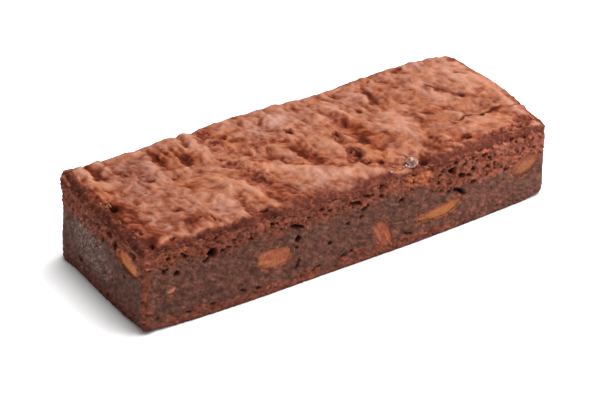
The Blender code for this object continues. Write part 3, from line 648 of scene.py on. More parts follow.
# pits and small holes of the top, with their depths
crustPits = (
    (-48.8, 11.5, 0.5, 0.8, 0.3, 20), (-45.6, 8, 0.8, 0.6, 0.4), (-44.3, 5.5, 1.4, 0.6, 0.4, 5),
    (-39, 3.6, 0.7, 0.7, 0.4), (-48.8, 1.5, 0.8, 0.5, 0.3), (-58.9, 0, 1.2, 1.6, 1.5),
    (-58.6, -13.9, 0.6, 0.8, 0.9), (-58.8, -19.3, 0.9, 0.9, 1.5), (-53, -19.3, 0.8, 0.6, 1.1),
    (-45.9, -9.9, 0.9, 0.6, 0.5), (-42.4, -15.2, 0.6, 0.5, 0.3), (-39.5, -17.2, 0.45, 1.8, 0.6, 3),
    (-26.4, -20.2, 1.3, 0.6, 1.2), (-36.9, 15.6, 0.7, 1.6, 0.5), (-31, 11, 0.8, 1, 0.2),
    (-21, 13, 0.7, 0.8, 0.35), (-17.4, 13.6, 0.5, 0.7, 0.35), (-0.6, 8.3, 0.75, 1.5, 1.5),
    (10, 1.6, 0.4, 1, 0.8, -26), (8.2, -0.4, 0.3, 0.7, 0.6, -20), (7.6, -6.6, 0.5, 0.7, 0.7),
    (9.6, -9.4, 0.8, 1.2, 1, 10), (8.6, -7.4, 0.6, 0.8, 0.8, 10), (9.8, -14.2, 0.8, 0.8, 0.8),
    (12.4, -15.6, 0.8, 0.75, 1.3), (21.2, -17.4, 1.8, 0.5, 1.1, -20), (23.5, -19.9, 1.9, 1.4, 1.5),
    (-0.8, -12, 0.8, 0.5, 0.7), (20.3, 18.8, 0.5, 1.1, 0.4), (21.8, 7.8, 0.45, 0.9, 0.4),
    (43.6, 20.2, 0.7, 0.5, 0.5), (51.3, 1.4, 1.1, 0.7, 0.6, 40), (39.8, -17.4, 0.9, 0.6, 1.2, 8),
    (38.6, -16.8, 0.8, 0.4, 0.8, -20), (46.5, -18.6, 1.2, 0.5, 0.7), (55.6, -19, 1.2, 0.45, 0.6),
    (-15.6, -6.2, 0.7, 0.6, 0.4), (-17.2, -4.2, 0.7, 0.6, 0.4), (-19.6, -1.4, 0.6, 0.6, 0.35),
    (14.6, 4.2, 0.6, 1.2, 0.3), (49.8, -9.9, 0.8, 0.45, 0.6), (32.2, 19.4, 0.6, 0.5, 0.3),
    (30.8, -12.2, 0.7, 0.5, 0.5), (-21.6, 1.6, 0.6, 0.7, 0.3), (45.5, 9.5, 0.5, 0.7, 0.4, 30),
    (-46.9, 13.6, 0.5, 0.4, 0.2),
)

# thin cracks: depth, half width, then the points
cracks = (
    (0.7, 0.26, (41.6, -8.3), (43.2, -8.9), (45.4, -7.6), (47.3, -8.4), (49.6, -9.9), (51.8, -9.6),
     (54.3, -8.8), (57.6, -8.2)),
    (0.3, 0.22, (57.6, -8.2), (60, -9.4), (63.5, -9.2)),
)


def nearLine(x, y, points):
    # signed distance to a broken line, positive to the right of a line that runs towards the front
    best, side = np.full(x.shape, 1e9), 0 * x
    for (x0, y0), (x1, y1) in zip(points[:-1], points[1:]):
        share, across = alongLine(x, y, x0, y0, x1, y1)
        apart = np.hypot(x - x0 - share * (x1 - x0), y - y0 - share * (y1 - y0))
        side = np.where(apart < best, np.sign(across), side)
        best = np.minimum(best, apart)
    return best * side


def crustSurface(x, y, edge):
    # height of the crust and the masks that colour it: the folds, then wrinkles along the zero lines
    # of drawn-out noise, bubbles, creases as bells across lines, then crumbs, pits, cracks and film
    flat = stacked(x, y, 0)
    warpX = layered(flat, (3.6, 3, 0.9), (1.5, 4, 0.5))
    warpY = layered(flat, (3.6, 5, 0.9), (1.5, 6, 0.5))
    wx, wy = x + crust["warp"] * warpX, y + crust["warp"] * warpY

    z = crustHeight(x + warpX, y + warpY, 0.62 + 0.25 * softNoise(flat, 3.0, 2))
    ragged = layered(flat, (1.8, 21, 0.5), (0.8, 22, 0.3))
    broken = 0 * x
    for inside, strength, _ in ovals(brokenPlaces, wx, wy):
        broken = np.maximum(broken, strength * eased(1.25 - 0.8 * inside + 0.8 * ragged))
    pale = sum(much * np.exp(-inside ** 1.3) for inside, much, _ in ovals(toneLightShadePatches, wx, wy))
    rightward = ramp(x, 22, 8)
    pale = pale * (1 + 0.3 * rightward) - 0.035 * rightward
    dull = sum(much * np.exp(-inside ** 1.5) for inside, much, _ in ovals(dullPatches, wx, wy))
    dull = dull + layered(flat, (4.2, 45, 0.7), (1.7, 46, 0.6)) - 0.2

    # wrinkles run from the back to the front, lean over and wander a little
    c, s = math.cos(crust["lean"]), math.sin(crust["lean"])
    across = x * c + y * s + layered(flat, (11.0, 8, 2.6), (5.0, 9, 1.2))
    along = y * c - x * s + 1.2 * softNoise(flat, 5.0, 10)
    calm = (1 - np.clip(2.4 * pale, 0, 0.7)) * (1 - 0.6 * bell(edge, 0, 1.4))
    for number, (wide, tall, high) in enumerate(crust["wrinkles"]):
        rolled = softNoise(stacked(across / wide, along / tall, 0), 1.0, 30 + number)
        z = z + high * calm * (0.55 - np.sqrt(rolled ** 2 + 0.03) * 2.2 + 0.6 * rolled)
    patchy = layered(flat, (5.5, 36, 0.7), (2.2, 37, 0.5))
    patchy = eased(0.42 + 0.9 * patchy - 1.2 * pale + 0.3 * broken)
    for size, high in crust["bubbles"]:
        bubbled = softNoise(flat + 0.35 * size * warpX[..., None], size, 35)
        z = z + high * calm * (0.25 + 0.95 * patchy) * bubbled
    wide, tall, high = crust["hairlines"]
    line = softNoise(stacked(across / wide, along / tall, 0), 1.0, 31)
    z = z + high * (0.45 + 0.55 * patchy) * np.clip(1 - 1.6 * np.abs(line), 0, 1) ** 3
    for rise, left, right, *points in creaseLines:
        apart = nearLine(wx, wy, points)
        z = z + 0.6 * rise * np.exp(-np.abs(apart / (np.where(apart < 0, left, right) * 1.2)) ** 1.7)

    # broken places sit lower and are made of crumbs
    coarse, small = crust["crumbSizes"]
    near, fine = lumpNoise(stacked(x, y, 0.7 * z), coarse, 41), lumpNoise(flat, small, 42)
    lumps = np.maximum(0.5 - near, -0.12) + (0.5 - fine) * 0.12 + 0.6 * softNoise(flat, 1.9, 43)
    z = z + broken * (lumps * crust["brokenRoughness"] - crust["brokenDrop"])
    z = z + 0.05 * (1 - broken) * (0.6 - fine)

    # pits, pores and cracks are also darkened through the pit mask, as painted shade
    pit = 0 * x
    for inside, depth, breadth in ovals(crustPits, wx, wy):
        bowl = eased(1.1 - inside + (1.4 if breadth > 2.0 else 0.8) * ragged)
        z = z - depth * bowl
        pit = np.maximum(pit, bowl * min(1.0, depth / 1.5) ** 1.5)
    tiny = poreDepth(flat, crust["holeSize"], 0.04 * patchy + 0.16 * broken, 55, wide=0.46)
    z = z - crust["holeDepth"] * tiny * (0.3 + broken)
    pit = np.maximum(pit, tiny * 0.1 * broken)
    for depth, wide, *points in cracks:
        gap = bell(nearLine(wx, wy, points), 0, wide)
        z = z - depth * gap
        pit = np.maximum(pit, gap * 0.8)

    # the cut edge is crumbly and rounds down towards the front and the left
    z = z - bar["rimDrop"] * bell(edge, 0, bar["rimReach"])
    nearer = np.maximum(eased(-y / 10), ramp(-x, 50, 8))
    z = z + 0.45 * lumps * bell(edge, 0, 1.6) * nearer
    z = z - crust["rollOff"] * bell(edge, 0, crust["rollReach"]) * nearer
    z = z - 0.7 * hill(x, y, -62.5, 21.8, 3.2, 3.2)
    # a thin dull film lies over the crust in drawn-out blotches
    drawn = stacked(across / crust["filmStretch"][0], along / crust["filmStretch"][1], 0)
    film = sum(high * softNoise(drawn, size, 70 + n) for n, (size, high) in enumerate(crust["film"]))
    film = film * (0.4 + 0.6 * calm)
    # the tone: patches, film and, where broken, lighter crumb tops and darker gaps as painted light and shade
    return z + 0.1 * film - crust["settle"], broken, pale + film + 0.35 * broken * lumps, dull, pit


def buildCrust():
    # a grid over the plan at the height of the crust, then rows down its cut edge
    nx, ny = crust["cellsAlong"], crust["cellsAcross"]
    s, t = np.meshgrid(np.linspace(-1, 1, nx + 1), np.linspace(-1, 1, ny + 1), indexing="ij")
    x, y = planPoint(s, t)
    rim = tuple(gridRim(nx, ny).T)
    rimX, rimY = x[rim], y[rim]
    outX, outY = rimOut(rimX, rimY)
    edge = np.minimum(halfLength * (1 - np.abs(s)), halfWidth * (1 - np.abs(t)))
    z, broken, pale, dull, pit = crustSurface(x, y, edge)
    y = y + bell(edge, 0, 3) * np.clip(-t, 0, 1) ** 6 * notchDepth(x)

    # the cut edge of the crust is ragged, and it hangs a little over the crumb below
    rimPoints = stacked(rimX, rimY, 0)
    ragged = layered(rimPoints, (3.0, 61, 0.16), (0.9, 62, 0.05))
    inward = crust["sideInset"] - ragged - 0.55 * hill(rimX, rimY, -62, 21, 3.5, 4)
    x[rim] -= inward * outX
    y[rim] -= inward * outY

    # colour follows the patches, which mix the crust's own tones with painted shade and painted highlights,
    # and it gets a painted highlight on small rises and painted shade in small hollows
    flat = stacked(x, y, 0)
    tone = crust["meanTone"] + pale
    for reach, height, share, least, most in crust["contrast"]:
        tone = tone + share * np.clip((z - softened(z, reach)) / height, least, most)
    tone = np.clip(tone + broken * (layered(flat, (1.9, 44, 0.5), (1.0, 47, 0.45)) - 0.1), 0, 1)
    # the dark margin along the front and the left end: painted shade where the top rounds down to the cut,
    # mixed with its own purple-brown
    frontal, leftward = eased((-t - 0.5) / 0.3), eased((-s - 0.93) / 0.03)
    margin = crust["margin"] + sum(share * bell(x, *spot) for *spot, share in crust["marginBells"])
    margin = margin + sum(share * ramp(x, *spot) for *spot, share in crust["marginSteps"])
    rounded = bell(x, -4, 12) * eased((11 - x) / 3)
    margin = (margin + 1.5 * rounded + leftward) * (1 + layered(flat, (5.0, 68, 0.3), (1.3, 69, 0.25)))
    side = 0.85 * eased((margin * np.maximum(0.25 + 0.75 * frontal, leftward) - edge) / (1.3 + 2.4 * rounded))
    # and painted shade, nearly black in places, on the rim that rolls down along the left end and the front
    # left
    reach = 2.4 + leftward * eased((4 - y) / 10)
    rimShade = np.maximum(leftward, frontal * ramp(-x, 12, 14)) * eased((reach - edge) / 1.4)
    rimShade = rimShade * np.clip(0.62 + layered(flat, (2.6, 48, 0.8), (1.2, 49, 0.4)), 0, 1)
    pit = np.maximum(pit, 0.8 * rimShade)

    points = stacked(x, y, z)
    layers = [points.reshape(-1, 3)]
    masks = [np.stack([tone, broken, pit, dull, side]).reshape(5, -1)]
    thick = 0.95 + layered(rimPoints, (5.0, 63, 0.3), (1.1, 64, 0.45))
    for number, (drop, out) in enumerate(crust["sideRows"]):
        spot = stacked(rimX, rimY, z[rim] - drop * thick)
        bored = boredHoles(spot)
        if number < len(crust["sideRows"]) - 1:
            rough = 0.45 * (0.5 - lumpNoise(spot, 0.8, 65)) + 0.12 * softNoise(spot, 1.6, 66)
            out = out - crust["sideInset"] + rough
        out = out - crust["bore"] * bored
        layers.append(stacked(x[rim] + out * outX, y[rim] + out * outY, spot[..., 2]))
        dark = np.clip(0.4 + 0.6 * softNoise(spot, 1.2, 67), 0, 1)
        crumbly = np.clip(0.16 * number - 0.3 + 0.7 * softNoise(spot, (1.4, 1.4, 0.7), 60), 0, 1)
        purple = 0.5 + 0.4 * ramp(rimX, -26, 12) - 0.7 * crumbly
        masks.append(np.stack([dark, crumbly, bored, 0 * dark, purple]))
    # closed by a flat floor out of sight
    insetX, insetY = bar["inset"]
    layers += [stacked(rimX * insetX, rimY * insetY, crust["underside"]), [[0, 0, crust["underside"]]]]
    masks.append(np.zeros((5, len(rimX) + 1)))

    faces = [gridQuads(nx + 1, ny + 1)[:, [0, 3, 2, 1]]]
    upper, first = rim[0] * (ny + 1) + rim[1], x.size
    for _ in layers[1:-1]:
        lower = np.arange(first, first + len(rimX))
        faces.append(np.stack([upper, lower, np.roll(lower, -1), np.roll(upper, -1)], -1))
        upper, first = lower, first + len(rimX)
    faces.append(fanFaces(upper[::-1], first))
    masks = dict(zip(("tone", "broken", "pit", "dull", "side"), np.concatenate(masks, 1)))
    piece = makePiece("topCrust", np.concatenate(layers), faces, masks, crustMaterial())
    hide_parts("brownie")
    return points, gridNormals(points, False), broken


# the cut sides: fudge below, an airy band under the crust, air holes and seats for the pecans

crumb = {
    # columns of each side, and the shares along and across the bar from its start to its end
    "sides": ((440, (-1, 1), (-1, -1)), (116, (1, 1), (-1, 1)),
              (300, (1, -1), (1, 1)), (152, (-1, -1), (1, -1))),
    "rows": 80,
    # share of the height, way out
    "profile": ((0.0, -0.22), (0.02, -0.02), (0.07, 0.08), (0.28, 0.06), (0.5, -0.02), (0.7, 0.0),
                (0.86, 0.03), (0.955, 0.0), (0.975, -0.08), (1.0, -0.5)),
    "roughness": 0.1, "holeDepth": 2.4, "poreDepth": 1.1, "top": 0.55,
    "inside": 14.0, "lip": 1.4, "lipDrop": 0.3, "foot": (0.92, 0.77),
    # shares of the height where the airy band starts and where the loose foot ends
    "airyFrom": 0.66, "looseTo": 0.16,
    # size and seed of coarse and fine crumbs
    "crumbs": ((1.15, 86), (0.62, 83)),
    # cells of the pores: large, medium and small, and how much they are squashed
    "pores": (3.4, 2.1, 1.05), "squash": 1.5,
    # the knife's streaks: slant on the left end and elsewhere, then length, breadth, seed and share
    "slants": (0.62, -0.55), "streaks": ((2.8, 0.75, 72, 0.8), (1.2, 0.42, 73, 0.5)),
}

# air holes in the front: x, z, half width, half height, depth share and, where there is one, the tilt
frontHoles = (
    (-43.5, 18.1, 1.4, 1.5, 1, 45), (-45.1, 16.8, 1.3, 0.6, 0.9, 35), (-56.8, 16.8, 1.3, 0.45, 0.6, 35),
    (-53.6, 15.4, 0.8, 0.6, 0.7, -20), (-18.6, 17.5, 2.1, 0.55, 1, -16), (-18.2, 13.8, 0.9, 0.9, 1),
    (-18.7, 11.3, 0.5, 0.45, 0.6), (-18.5, 6.4, 0.45, 1.5, 0.7, -22), (-13.3, 22.9, 0.9, 0.6, 0.9),
    (-7.3, 22, 0.9, 0.4, 0.8, 20), (-4.2, 22.5, 0.6, 0.4, 0.7), (-11, 20.1, 0.7, 0.5, 0.7),
    (-0.5, 18.6, 1.9, 0.5, 1, -18), (3.5, 19.5, 1.6, 0.4, 0.8, -14), (7.5, 20.9, 0.8, 0.5, 0.9, 30),
    (7.7, 18.1, 0.7, 0.5, 0.8), (2.5, 16.3, 1.3, 0.6, 1, 20), (1.25, 14, 0.6, 0.5, 0.6),
    (-2.9, 13.4, 0.6, 0.5, 0.5), (-8.5, 9.25, 0.7, 0.5, 0.7, 20), (14.2, 14.75, 0.8, 0.55, 0.9),
    (16.4, 3.9, 1.5, 0.28, 0.5, -26), (22.4, 22.6, 0.9, 0.5, 0.9), (30.7, 18.2, 1.2, 1, 1, -10),
    (27.6, 19, 0.6, 0.5, 0.8), (32, 20.1, 0.6, 0.45, 0.8), (34.5, 18.8, 1, 0.45, 0.8, 35),
    (33.8, 15.7, 1.3, 0.75, 1, -18), (36.3, 15.1, 0.7, 0.5, 0.8), (37.6, 16.8, 0.6, 0.5, 0.8),
    (26.3, 15.7, 0.6, 0.4, 0.7), (30, 14.5, 0.7, 0.4, 0.7), (29.7, 12.2, 0.8, 0.4, 0.8, 15),
    (31.8, 12.25, 0.7, 0.45, 0.9), (33.8, 10.8, 1.6, 0.55, 1, -38), (37.8, 12.4, 0.9, 0.6, 0.9, 25),
    (40.3, 21.1, 0.6, 0.4, 0.8), (44, 21.1, 0.6, 0.4, 0.7), (41.5, 19.25, 0.8, 0.5, 0.9),
    (43.2, 18.1, 0.7, 0.5, 0.9), (44.9, 18, 0.6, 0.5, 0.8), (42.6, 15.5, 0.6, 0.5, 0.7),
    (45.1, 15.5, 0.6, 0.5, 0.7), (44.7, 14.25, 0.5, 0.4, 0.7), (42.6, 13.2, 0.5, 0.4, 0.6),
    (49.2, 12.4, 0.8, 0.35, 0.8, 15), (51.3, 20.5, 0.5, 0.6, 0.9, 20), (55.7, 19.9, 0.4, 0.5, 0.7),
    (58, 18.8, 0.5, 0.5, 0.7), (57.2, 17, 0.4, 0.4, 0.6), (26.2, 21.2, 1.2, 0.7, 1),
    (20.8, 8.2, 0.8, 0.4, 0.6, 20), (27.2, 8.3, 0.5, 0.4, 0.5), (-35, 4.2, 0.8, 0.25, 0.4, -20),
    (-4.5, 4.1, 0.8, 0.35, 0.6), (-1.8, 4.6, 0.6, 0.4, 0.6), (-12.6, 3.4, 1.3, 0.3, 0.6, 8),
    (-30.5, 3.3, 0.6, 0.3, 0.5, -20), (-59.5, 4, 0.4, 0.3, 0.5), (-51, 3, 0.8, 0.25, 0.5, -25),
    (-44, 3.2, 0.9, 0.25, 0.5, -25), (-37, 19.8, 0.6, 0.4, 0.7), (-32.5, 18.6, 0.6, 0.4, 0.7),
    (-56, 20.2, 0.7, 0.4, 0.7, -20), (-51.6, 20.2, 0.8, 0.35, 0.7, -20), (-42.5, 21.8, 0.6, 0.4, 0.6),
)

# air holes in the left end: y, z and the rest as above
leftHoles = (
    (-8.5, 19.7, 1, 1.3, 1, 20), (-2, 18.2, 0.7, 0.5, 0.8), (10.9, 5.1, 1, 0.7, 1, 10),
    (-17.5, 21, 1, 0.7, 0.9), (4.5, 20.5, 0.7, 0.5, 0.8), (14, 19, 0.6, 0.5, 0.7),
    (-5.6, 21.5, 1.2, 0.6, 0.9, 10), (1.5, 14.2, 0.5, 0.4, 0.5), (-12.5, 12.6, 0.5, 0.4, 0.5),
)

# pieces of pecan cut through at a face; each bends along its length and tapers, and has its own
# yellow, smear of crumb, light (a brightness factor, raised as painted light for the piece on the shaded left
# end) and blanched share
pecanKeys = ("node", "face", "place", "level", "long", "thick", "tilt", "depth", "bend", "taper",
             "yellow", "smear", "light", "blanched")
pecans = [dict(zip(pecanKeys, row)) for row in (
    ("pecan_front_left", "front", -25.6, 10.5, 10.4, 6.1, -3.0, 4.2, 0.0, 0.08, 0.3, 0.0, 0.85, 0.1),
    ("pecan_front_middle", "front", 8.3, 6.2, 9.6, 4.7, -64.0, 4.5, 0.0, 0.1, 0.1, 0.1, 0.84, 0.1),
    ("pecan_front_sliver", "front", 26.4, 7.4, 14.8, 3.5, 5.0, 2.6, 1.3, -0.22, 0.9, 0.3, 0.87, 0.1),
    ("pecan_front_right", "front", 55.8, 11.4, 10.2, 6.0, 12.0, 4.0, 0.5, 0.12, 0.75, 1.2, 0.76, 0.15),
    ("pecan_left_end", "left", -14.6, 17.3, 9.8, 5.6, -12.0, 4.2, 0.0, 0.1, 0.85, 0.3, 1.22, 0.0),
    ("pecan_chip", "front", -55.2, 10.7, 2.8, 1.8, 24.0, 1.8, 0.3, 0.15, 0.3, 1.6, 0.95, 0.8),
)]
pecanShape = {"sides": 96, "faceRings": 22, "backRings": 6, "roundOff": 0.14, "squareness": 2.4}


def faceFrame(nut):
    # where a piece stands in a cut face: its middle, then its own long, short and outward ways
    place, level, tilt = nut["place"], nut["level"], math.radians(nut["tilt"])
    if nut["face"] == "front":
        slope = 2 * bar["bulgeFront"] * place / halfLength ** 2
        along = np.array([1.0, slope, 0.0]) / math.hypot(1, slope)
        depth = halfWidth + bar["bulgeFront"] * (1 - (place / halfLength) ** 2)
        middle = np.array([place, -depth - bar["faceOffset"], level])
    else:
        along = np.array([0.0, -1.0, 0.0])
        depth = halfLength + bar["bulgeLeft"] * (1 - (place / halfWidth) ** 2)
        middle = np.array([-depth - bar["faceOffset"], place, level])
    up = np.array([0.0, 0.0, 1.0])
    c, s = math.cos(tilt), math.sin(tilt)
    return middle, along * c + up * s, up * c - along * s, np.cross(along, up)


def ovalSize(a, b):
    # the (a^n + b^n)^(1/n) of a squarish oval
    n = pecanShape["squareness"]
    return (np.abs(a) ** n + np.abs(b) ** n) ** (1 / n)


def pecanOutline(nut, angle, size):
    # a squarish oval, uneven by three waves round it, that narrows along its length and bends
    draw = random.Random(round(10 * nut["place"] + nut["level"]))
    first, second = draw.uniform(0, 6.28), draw.uniform(0, 6.28)
    uneven = 1 + 0.03 * np.sin(3 * angle + first) + 0.025 * np.sin(5 * angle + second)
    uneven = uneven + 0.02 * np.sin(9 * angle + first + second)
    c, s = np.cos(angle), np.sin(angle)
    size = uneven / ovalSize(c, s) * size
    a = c * size
    b = s * size * (1 - nut["taper"] * a) * nut["thick"] / 2
    return a * nut["long"] / 2, b + nut["bend"] * (a * a - 0.4)


def inPecan(points, nut):
    # how far a point of the cut face is from a pecan's middle, 1 at its outline
    middle, long, short, _ = faceFrame(nut)
    a = (points - middle) @ long / (nut["long"] / 2)
    b = ((points - middle) @ short - nut["bend"] * (a * a - 0.4)) / (nut["thick"] / 2)
    return ovalSize(a, b / (1 - nut["taper"] * np.clip(a, -1, 1)))


def boredHoles(p):
    # share of the full depth of the air holes that open at points of the cut faces
    warpRun, warpUp = 0.28 * softNoise(p, 1.1, 88), 0.28 * softNoise(p, 1.1, 89)
    depth = 0 * warpRun
    for holes, axis, near in ((frontHoles, 0, p[..., 1] < 1.5 - halfWidth),
                              (leftHoles, 1, p[..., 0] < 1.0 - halfLength)):
        for inside, share, _ in ovals(holes, p[..., axis] + warpRun, p[..., 2] + warpUp):
            depth = np.maximum(depth, eased((1.25 - inside) / 0.5) * share * near)
    return depth


def buildCrumb():
    # a wall round the plan: rows from the floor up, each point moved outwards by a profile, crumbs and holes
    parts = []
    for count, (s0, s1), (t0, t1) in crumb["sides"]:
        share = np.arange(count) / count
        parts.append(planPoint(s0 + (s1 - s0) * share, t0 + (t1 - t0) * share))
    rimX, rimY = np.concatenate(parts, 1)
    outX, outY = rimOut(rimX, rimY)
    way = stacked(outX, outY, 0)
    lift = floorLift(rimX, rimY)
    topZ = crustHeight(rimX, rimY) - bar["rimDrop"] - crust["sideRows"][0][0]

    # h is the share of the height
    h = np.linspace(0, 1, crumb["rows"] + 1)[:, None]
    z = lift + (topZ - crumb["top"] - lift) * h
    onFront = eased(-rimY - halfWidth + 1.5)
    out = np.interp(h, *zip(*crumb["profile"])) - notchDepth(rimX) * onFront * eased((h - 0.9) / 0.08)
    # the foot spreads at the back left corner and in two places in front, and the near corner is sharp
    spread = 0.9 * hill(rimX, rimY, -62, 21.5, 4, 5)
    spread = spread + onFront * (0.35 * bell(rimX, 22, 24) + 0.45 * bell(rimX, -36, 20))
    sharp = 0.5 * hill(rimX, rimY, -62.8, -21.7, 1.8, 1.8)
    out = out + spread * eased((0.85 - h) / 0.7) + sharp * (1 - 1.4 * eased((h - 0.4) / 0.45))
    out = out + 0.45 * hill(rimX, rimY, -62, 21, 3.5, 4) * eased((h - 0.55) / 0.4)
    p = stacked(rimX, rimY, z) + out[..., None] * way
    px, py, height = p[..., 0], p[..., 1], z / bar["height"]

    wave = layered(p, ((6.0, 6.0, 3.0), 81, 0.07), (1.6, 82, 0.05))
    lowLimit = crumb["airyFrom"] - 0.2 * ramp(px, 18, 12) * (py < 0)
    airy = eased((height + wave - lowLimit) / 0.1)
    base = eased((crumb["looseTo"] - height + wave) / 0.06)
    dusty = eased(1.1 - 0.5 * inOval(py, z, 5, 11.8, 9.5, 5, 8))
    dusty = dusty * eased(-px - 60) * (0.7 + 0.5 * softNoise(p, 2.5, 77))
    cornerRed = eased((1.9 - np.hypot(px + 62.7, py + 21.8)) / 1.3)
    leftEnd = ramp(-px, 60.5, 1.5)
    blisterRed = eased(1.2 - inOval(px, z, 19.8, 19.3, 5.2, 2.6)) * (py < 0)
    calmRight = ramp(px, 38, 12) * onFront
    loose = np.clip(airy + 0.9 * base + cornerRed, 0, 1)

    # the knife left slanting streaks, down to the right in front and up to the right on the left end
    onLeft = outX < -0.7
    run = np.where(onLeft, -rimY, np.where(outX > 0.7, rimY, rimX))
    slant = np.where(onLeft, *crumb["slants"])
    level = np.sqrt(1 - slant ** 2)
    along, across = run * level + z * slant, z * level - run * slant + 0.5 * softNoise(p, 4.0, 87)
    streak = sum(share * softNoise(stacked(along / tall, across / wide, 0), 1.0, seed)
                 for tall, wide, seed, share in crumb["streaks"])
    near, fine = (lumpNoise(p, size, seed) for size, seed in crumb["crumbs"])
    lumps = (0.55 - near) * 1.1 + (0.5 - fine) * 0.6
    move = crumb["roughness"] * layered(p, (2.4, 84, 0.8), (1.0, 85, 0.6)) * (0.6 + airy)
    move = move + lumps * (0.08 + 0.42 * loose * (1 - 0.4 * calmRight)) + streak * (0.09 + 0.14 * loose)
    move = move + 0.05 * softNoise(p, 0.6, 78)

    # air holes: the ones seen in the cut, then many small pores in the airy band
    pit = boredHoles(p)
    unseen = (px > halfLength - 0.5) | (py > halfWidth - 0.5)
    squashed, cells = p * (1, 1, crumb["squash"]), crumb["pores"]
    large = poreDepth(squashed, cells[0], unseen * airy * 0.5, 90)
    medium = poreDepth(squashed, cells[1], 0.05 + 0.5 * airy + 0.12 * base, 92, wide=0.46)
    small = poreDepth(squashed, cells[2], 0.14 + 0.55 * airy + 0.35 * base, 94, wide=0.46)
    pores = np.max([large * 1.6, medium, small * 0.6], 0) * (1 - eased((pit - 0.05) / 0.2))
    move = move - crumb["holeDepth"] * pit - crumb["poreDepth"] * pores
    # air holes, pores, gaps between crumbs and the streaks' slits are darkened as painted shade
    gaps = np.clip((near - 0.62) * 2.2, 0, 1) * loose
    slits = np.clip(-2.4 * streak - 0.8, 0, 1) * loose
    pit = np.max([pit, large, medium * 0.9, small * 0.6, gaps * 0.7, slits * 0.6], 0)

    # each pecan has a seat in the crumb that follows its outline
    seat, halo = 0 * z, 0 * z
    uneven = layered(p, (1.6, 75, 1.7), (0.7, 74, 1.4))
    for nut in pecans:
        middle, _, _, outward = faceFrame(nut)
        nearFace = np.abs((p - middle) @ outward) < 2.0
        soft = 0.6 / nut["thick"]
        deep = 0.96 + soft * uneven - inPecan(p, nut)
        seat = np.maximum(seat, eased(deep / soft) * nearFace)
        halo = np.maximum(halo, eased((deep + 1.4 * soft) / (1.6 * soft)) * nearFace)
    move = (move * (1 - seat) - seat) * (0.35 + 0.65 * eased((z - lift) / 1.5))
    pit = pit * (1 - seat)
    p += move[..., None] * way

    mottle = layered(p, (1.8, 79, 0.5), (0.8, 80, 0.4))
    browner = 0.8 * base * ramp(px, 24, 12) * onFront + 0.25 * airy * calmRight
    reddish = np.clip((loose - browner) * 0.85 + 0.1 + 0.6 * mottle, 0, 1)
    cornerWarm = eased(1.2 - inOval(px, z, -53, 20.4, 6, 2.2)) * (py < 0)
    orange = 0.75 * blisterRed + 0.3 * cornerWarm + loose * (0.4 * mottle + 0.5 * lumps - 0.04)
    orange = np.clip(np.maximum(orange * (1 - 0.85 * calmRight), 0.55 * halo), 0, 1)
    # painted light and shade: brighter to the right and high on the left end, painted shadow in the last half
    # millimetre above the floor; the random tone and knife streaks are the crumb's own
    shade = 0.2 * ramp(px, 8, 40) + 0.36 * ramp(px, 30, 20) * airy - 0.07 * ramp(-px, 20, 20)
    shade = 1 + shade * onFront + leftEnd * (0.2 * airy - 0.22 * base)
    shade = shade * (1 + 0.14 * softNoise(p, 3.2, 76)) * (0.55 + 0.45 * eased((z - lift) / 0.9))
    shade = shade * np.clip(1 + 0.7 * streak, 0.4, 1.9)
    dusty = np.clip(dusty * (0.75 + 0.8 * streak), 0, 1)

    # closed below by a ring on the floor and above by a lip and a flat inside face
    footX, footY = crumb["foot"]
    insetX, insetY = bar["inset"]
    low = stacked(rimX * footX, rimY * footY, 0)
    lip = stacked(rimX - crumb["lip"] * outX, rimY - crumb["lip"] * outY, z[-1] - crumb["lipDrop"])
    inner = stacked(rimX * insetX, rimY * insetY, crumb["inside"])
    rings = np.concatenate([low[None], p, lip[None], inner[None]])
    masks = {"reddish": (reddish, 0.6), "dusty": (dusty, 0.0), "pit": (pit, 0.0), "streak": (streak, 0.0),
             "orange": (orange, 0.0), "shade": (shade, 0.6)}
    for name, (mask, fill) in masks.items():
        edge = np.full(len(rimX), fill)
        masks[name] = np.concatenate([edge, mask.ravel(), edge, edge, [fill, fill]])
    points = np.concatenate([rings.reshape(-1, 3), [[0, 0, 0], [0, 0, crumb["inside"]]]])
    piece = makePiece("crumbBlock", points, closedRings(*rings.shape[:2]), masks, crumbMaterial())
    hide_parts("brownie")
    # loose crumbs hold in the airy band and near the floor, but not on pecans
    hold = (seat < 0.05) * (0.02 + airy + 0.5 * base)
    hold[:2] = 0
    return p, gridNormals(p, True), hold


crustPoints, crustNormals, crustBroken = buildCrust()
wallPoints, wallNormals, wallHold = buildCrumb()


# the pecans in the cut

pecanLook = {
    "core": (0.345, 0.104, 0.02), "rosy": (0.25, 0.046, 0.02), "pale": (0.37, 0.125, 0.052),
    "blanched": (0.33, 0.15, 0.1), "skin": (0.11, 0.036, 0.025),
    "roughness": 0.55, "specular": 0.12, "grainDepth": 0.2,
}


def pecanMaterial():
    # rosy to yellow nut with pale streaks, under dark crumb that is smeared in from its edge, times its light
    # factor, painted light for the piece on the left end
    look = pecanLook
    material, shader, place = newMaterial("cut_pecan")
    core, rimShare, streak, blanched, light = place.masks("core", "rimShare", "streak", "blanched", "light")
    speck, blotch = place.grain(0.5, 3.0, 0.65), place.grain(1.8, 2.0) - 0.5
    colour = (core + blotch * 1.6).held().mix(look["rosy"], look["core"])
    colour = (streak - 0.25 + (speck - 0.5) * 0.8).held().mix(colour, look["pale"])
    colour = (blanched + blotch * 0.8).held().mix(colour, look["blanched"])
    smear = ((rimShare - 0.72) * 2.6 + (speck - 0.5) * 2.8 - streak * 0.35).held()
    feed(shader, {"Base Color": smear.mix(colour, look["skin"]).tinted(speck * 2.0 * light),
                  "Roughness": smear * 0.3 + look["roughness"], "Specular IOR Level": look["specular"],
                  "Normal": place.grain(0.4, 3.0, 0.65).bump(look["grainDepth"])})
    return material


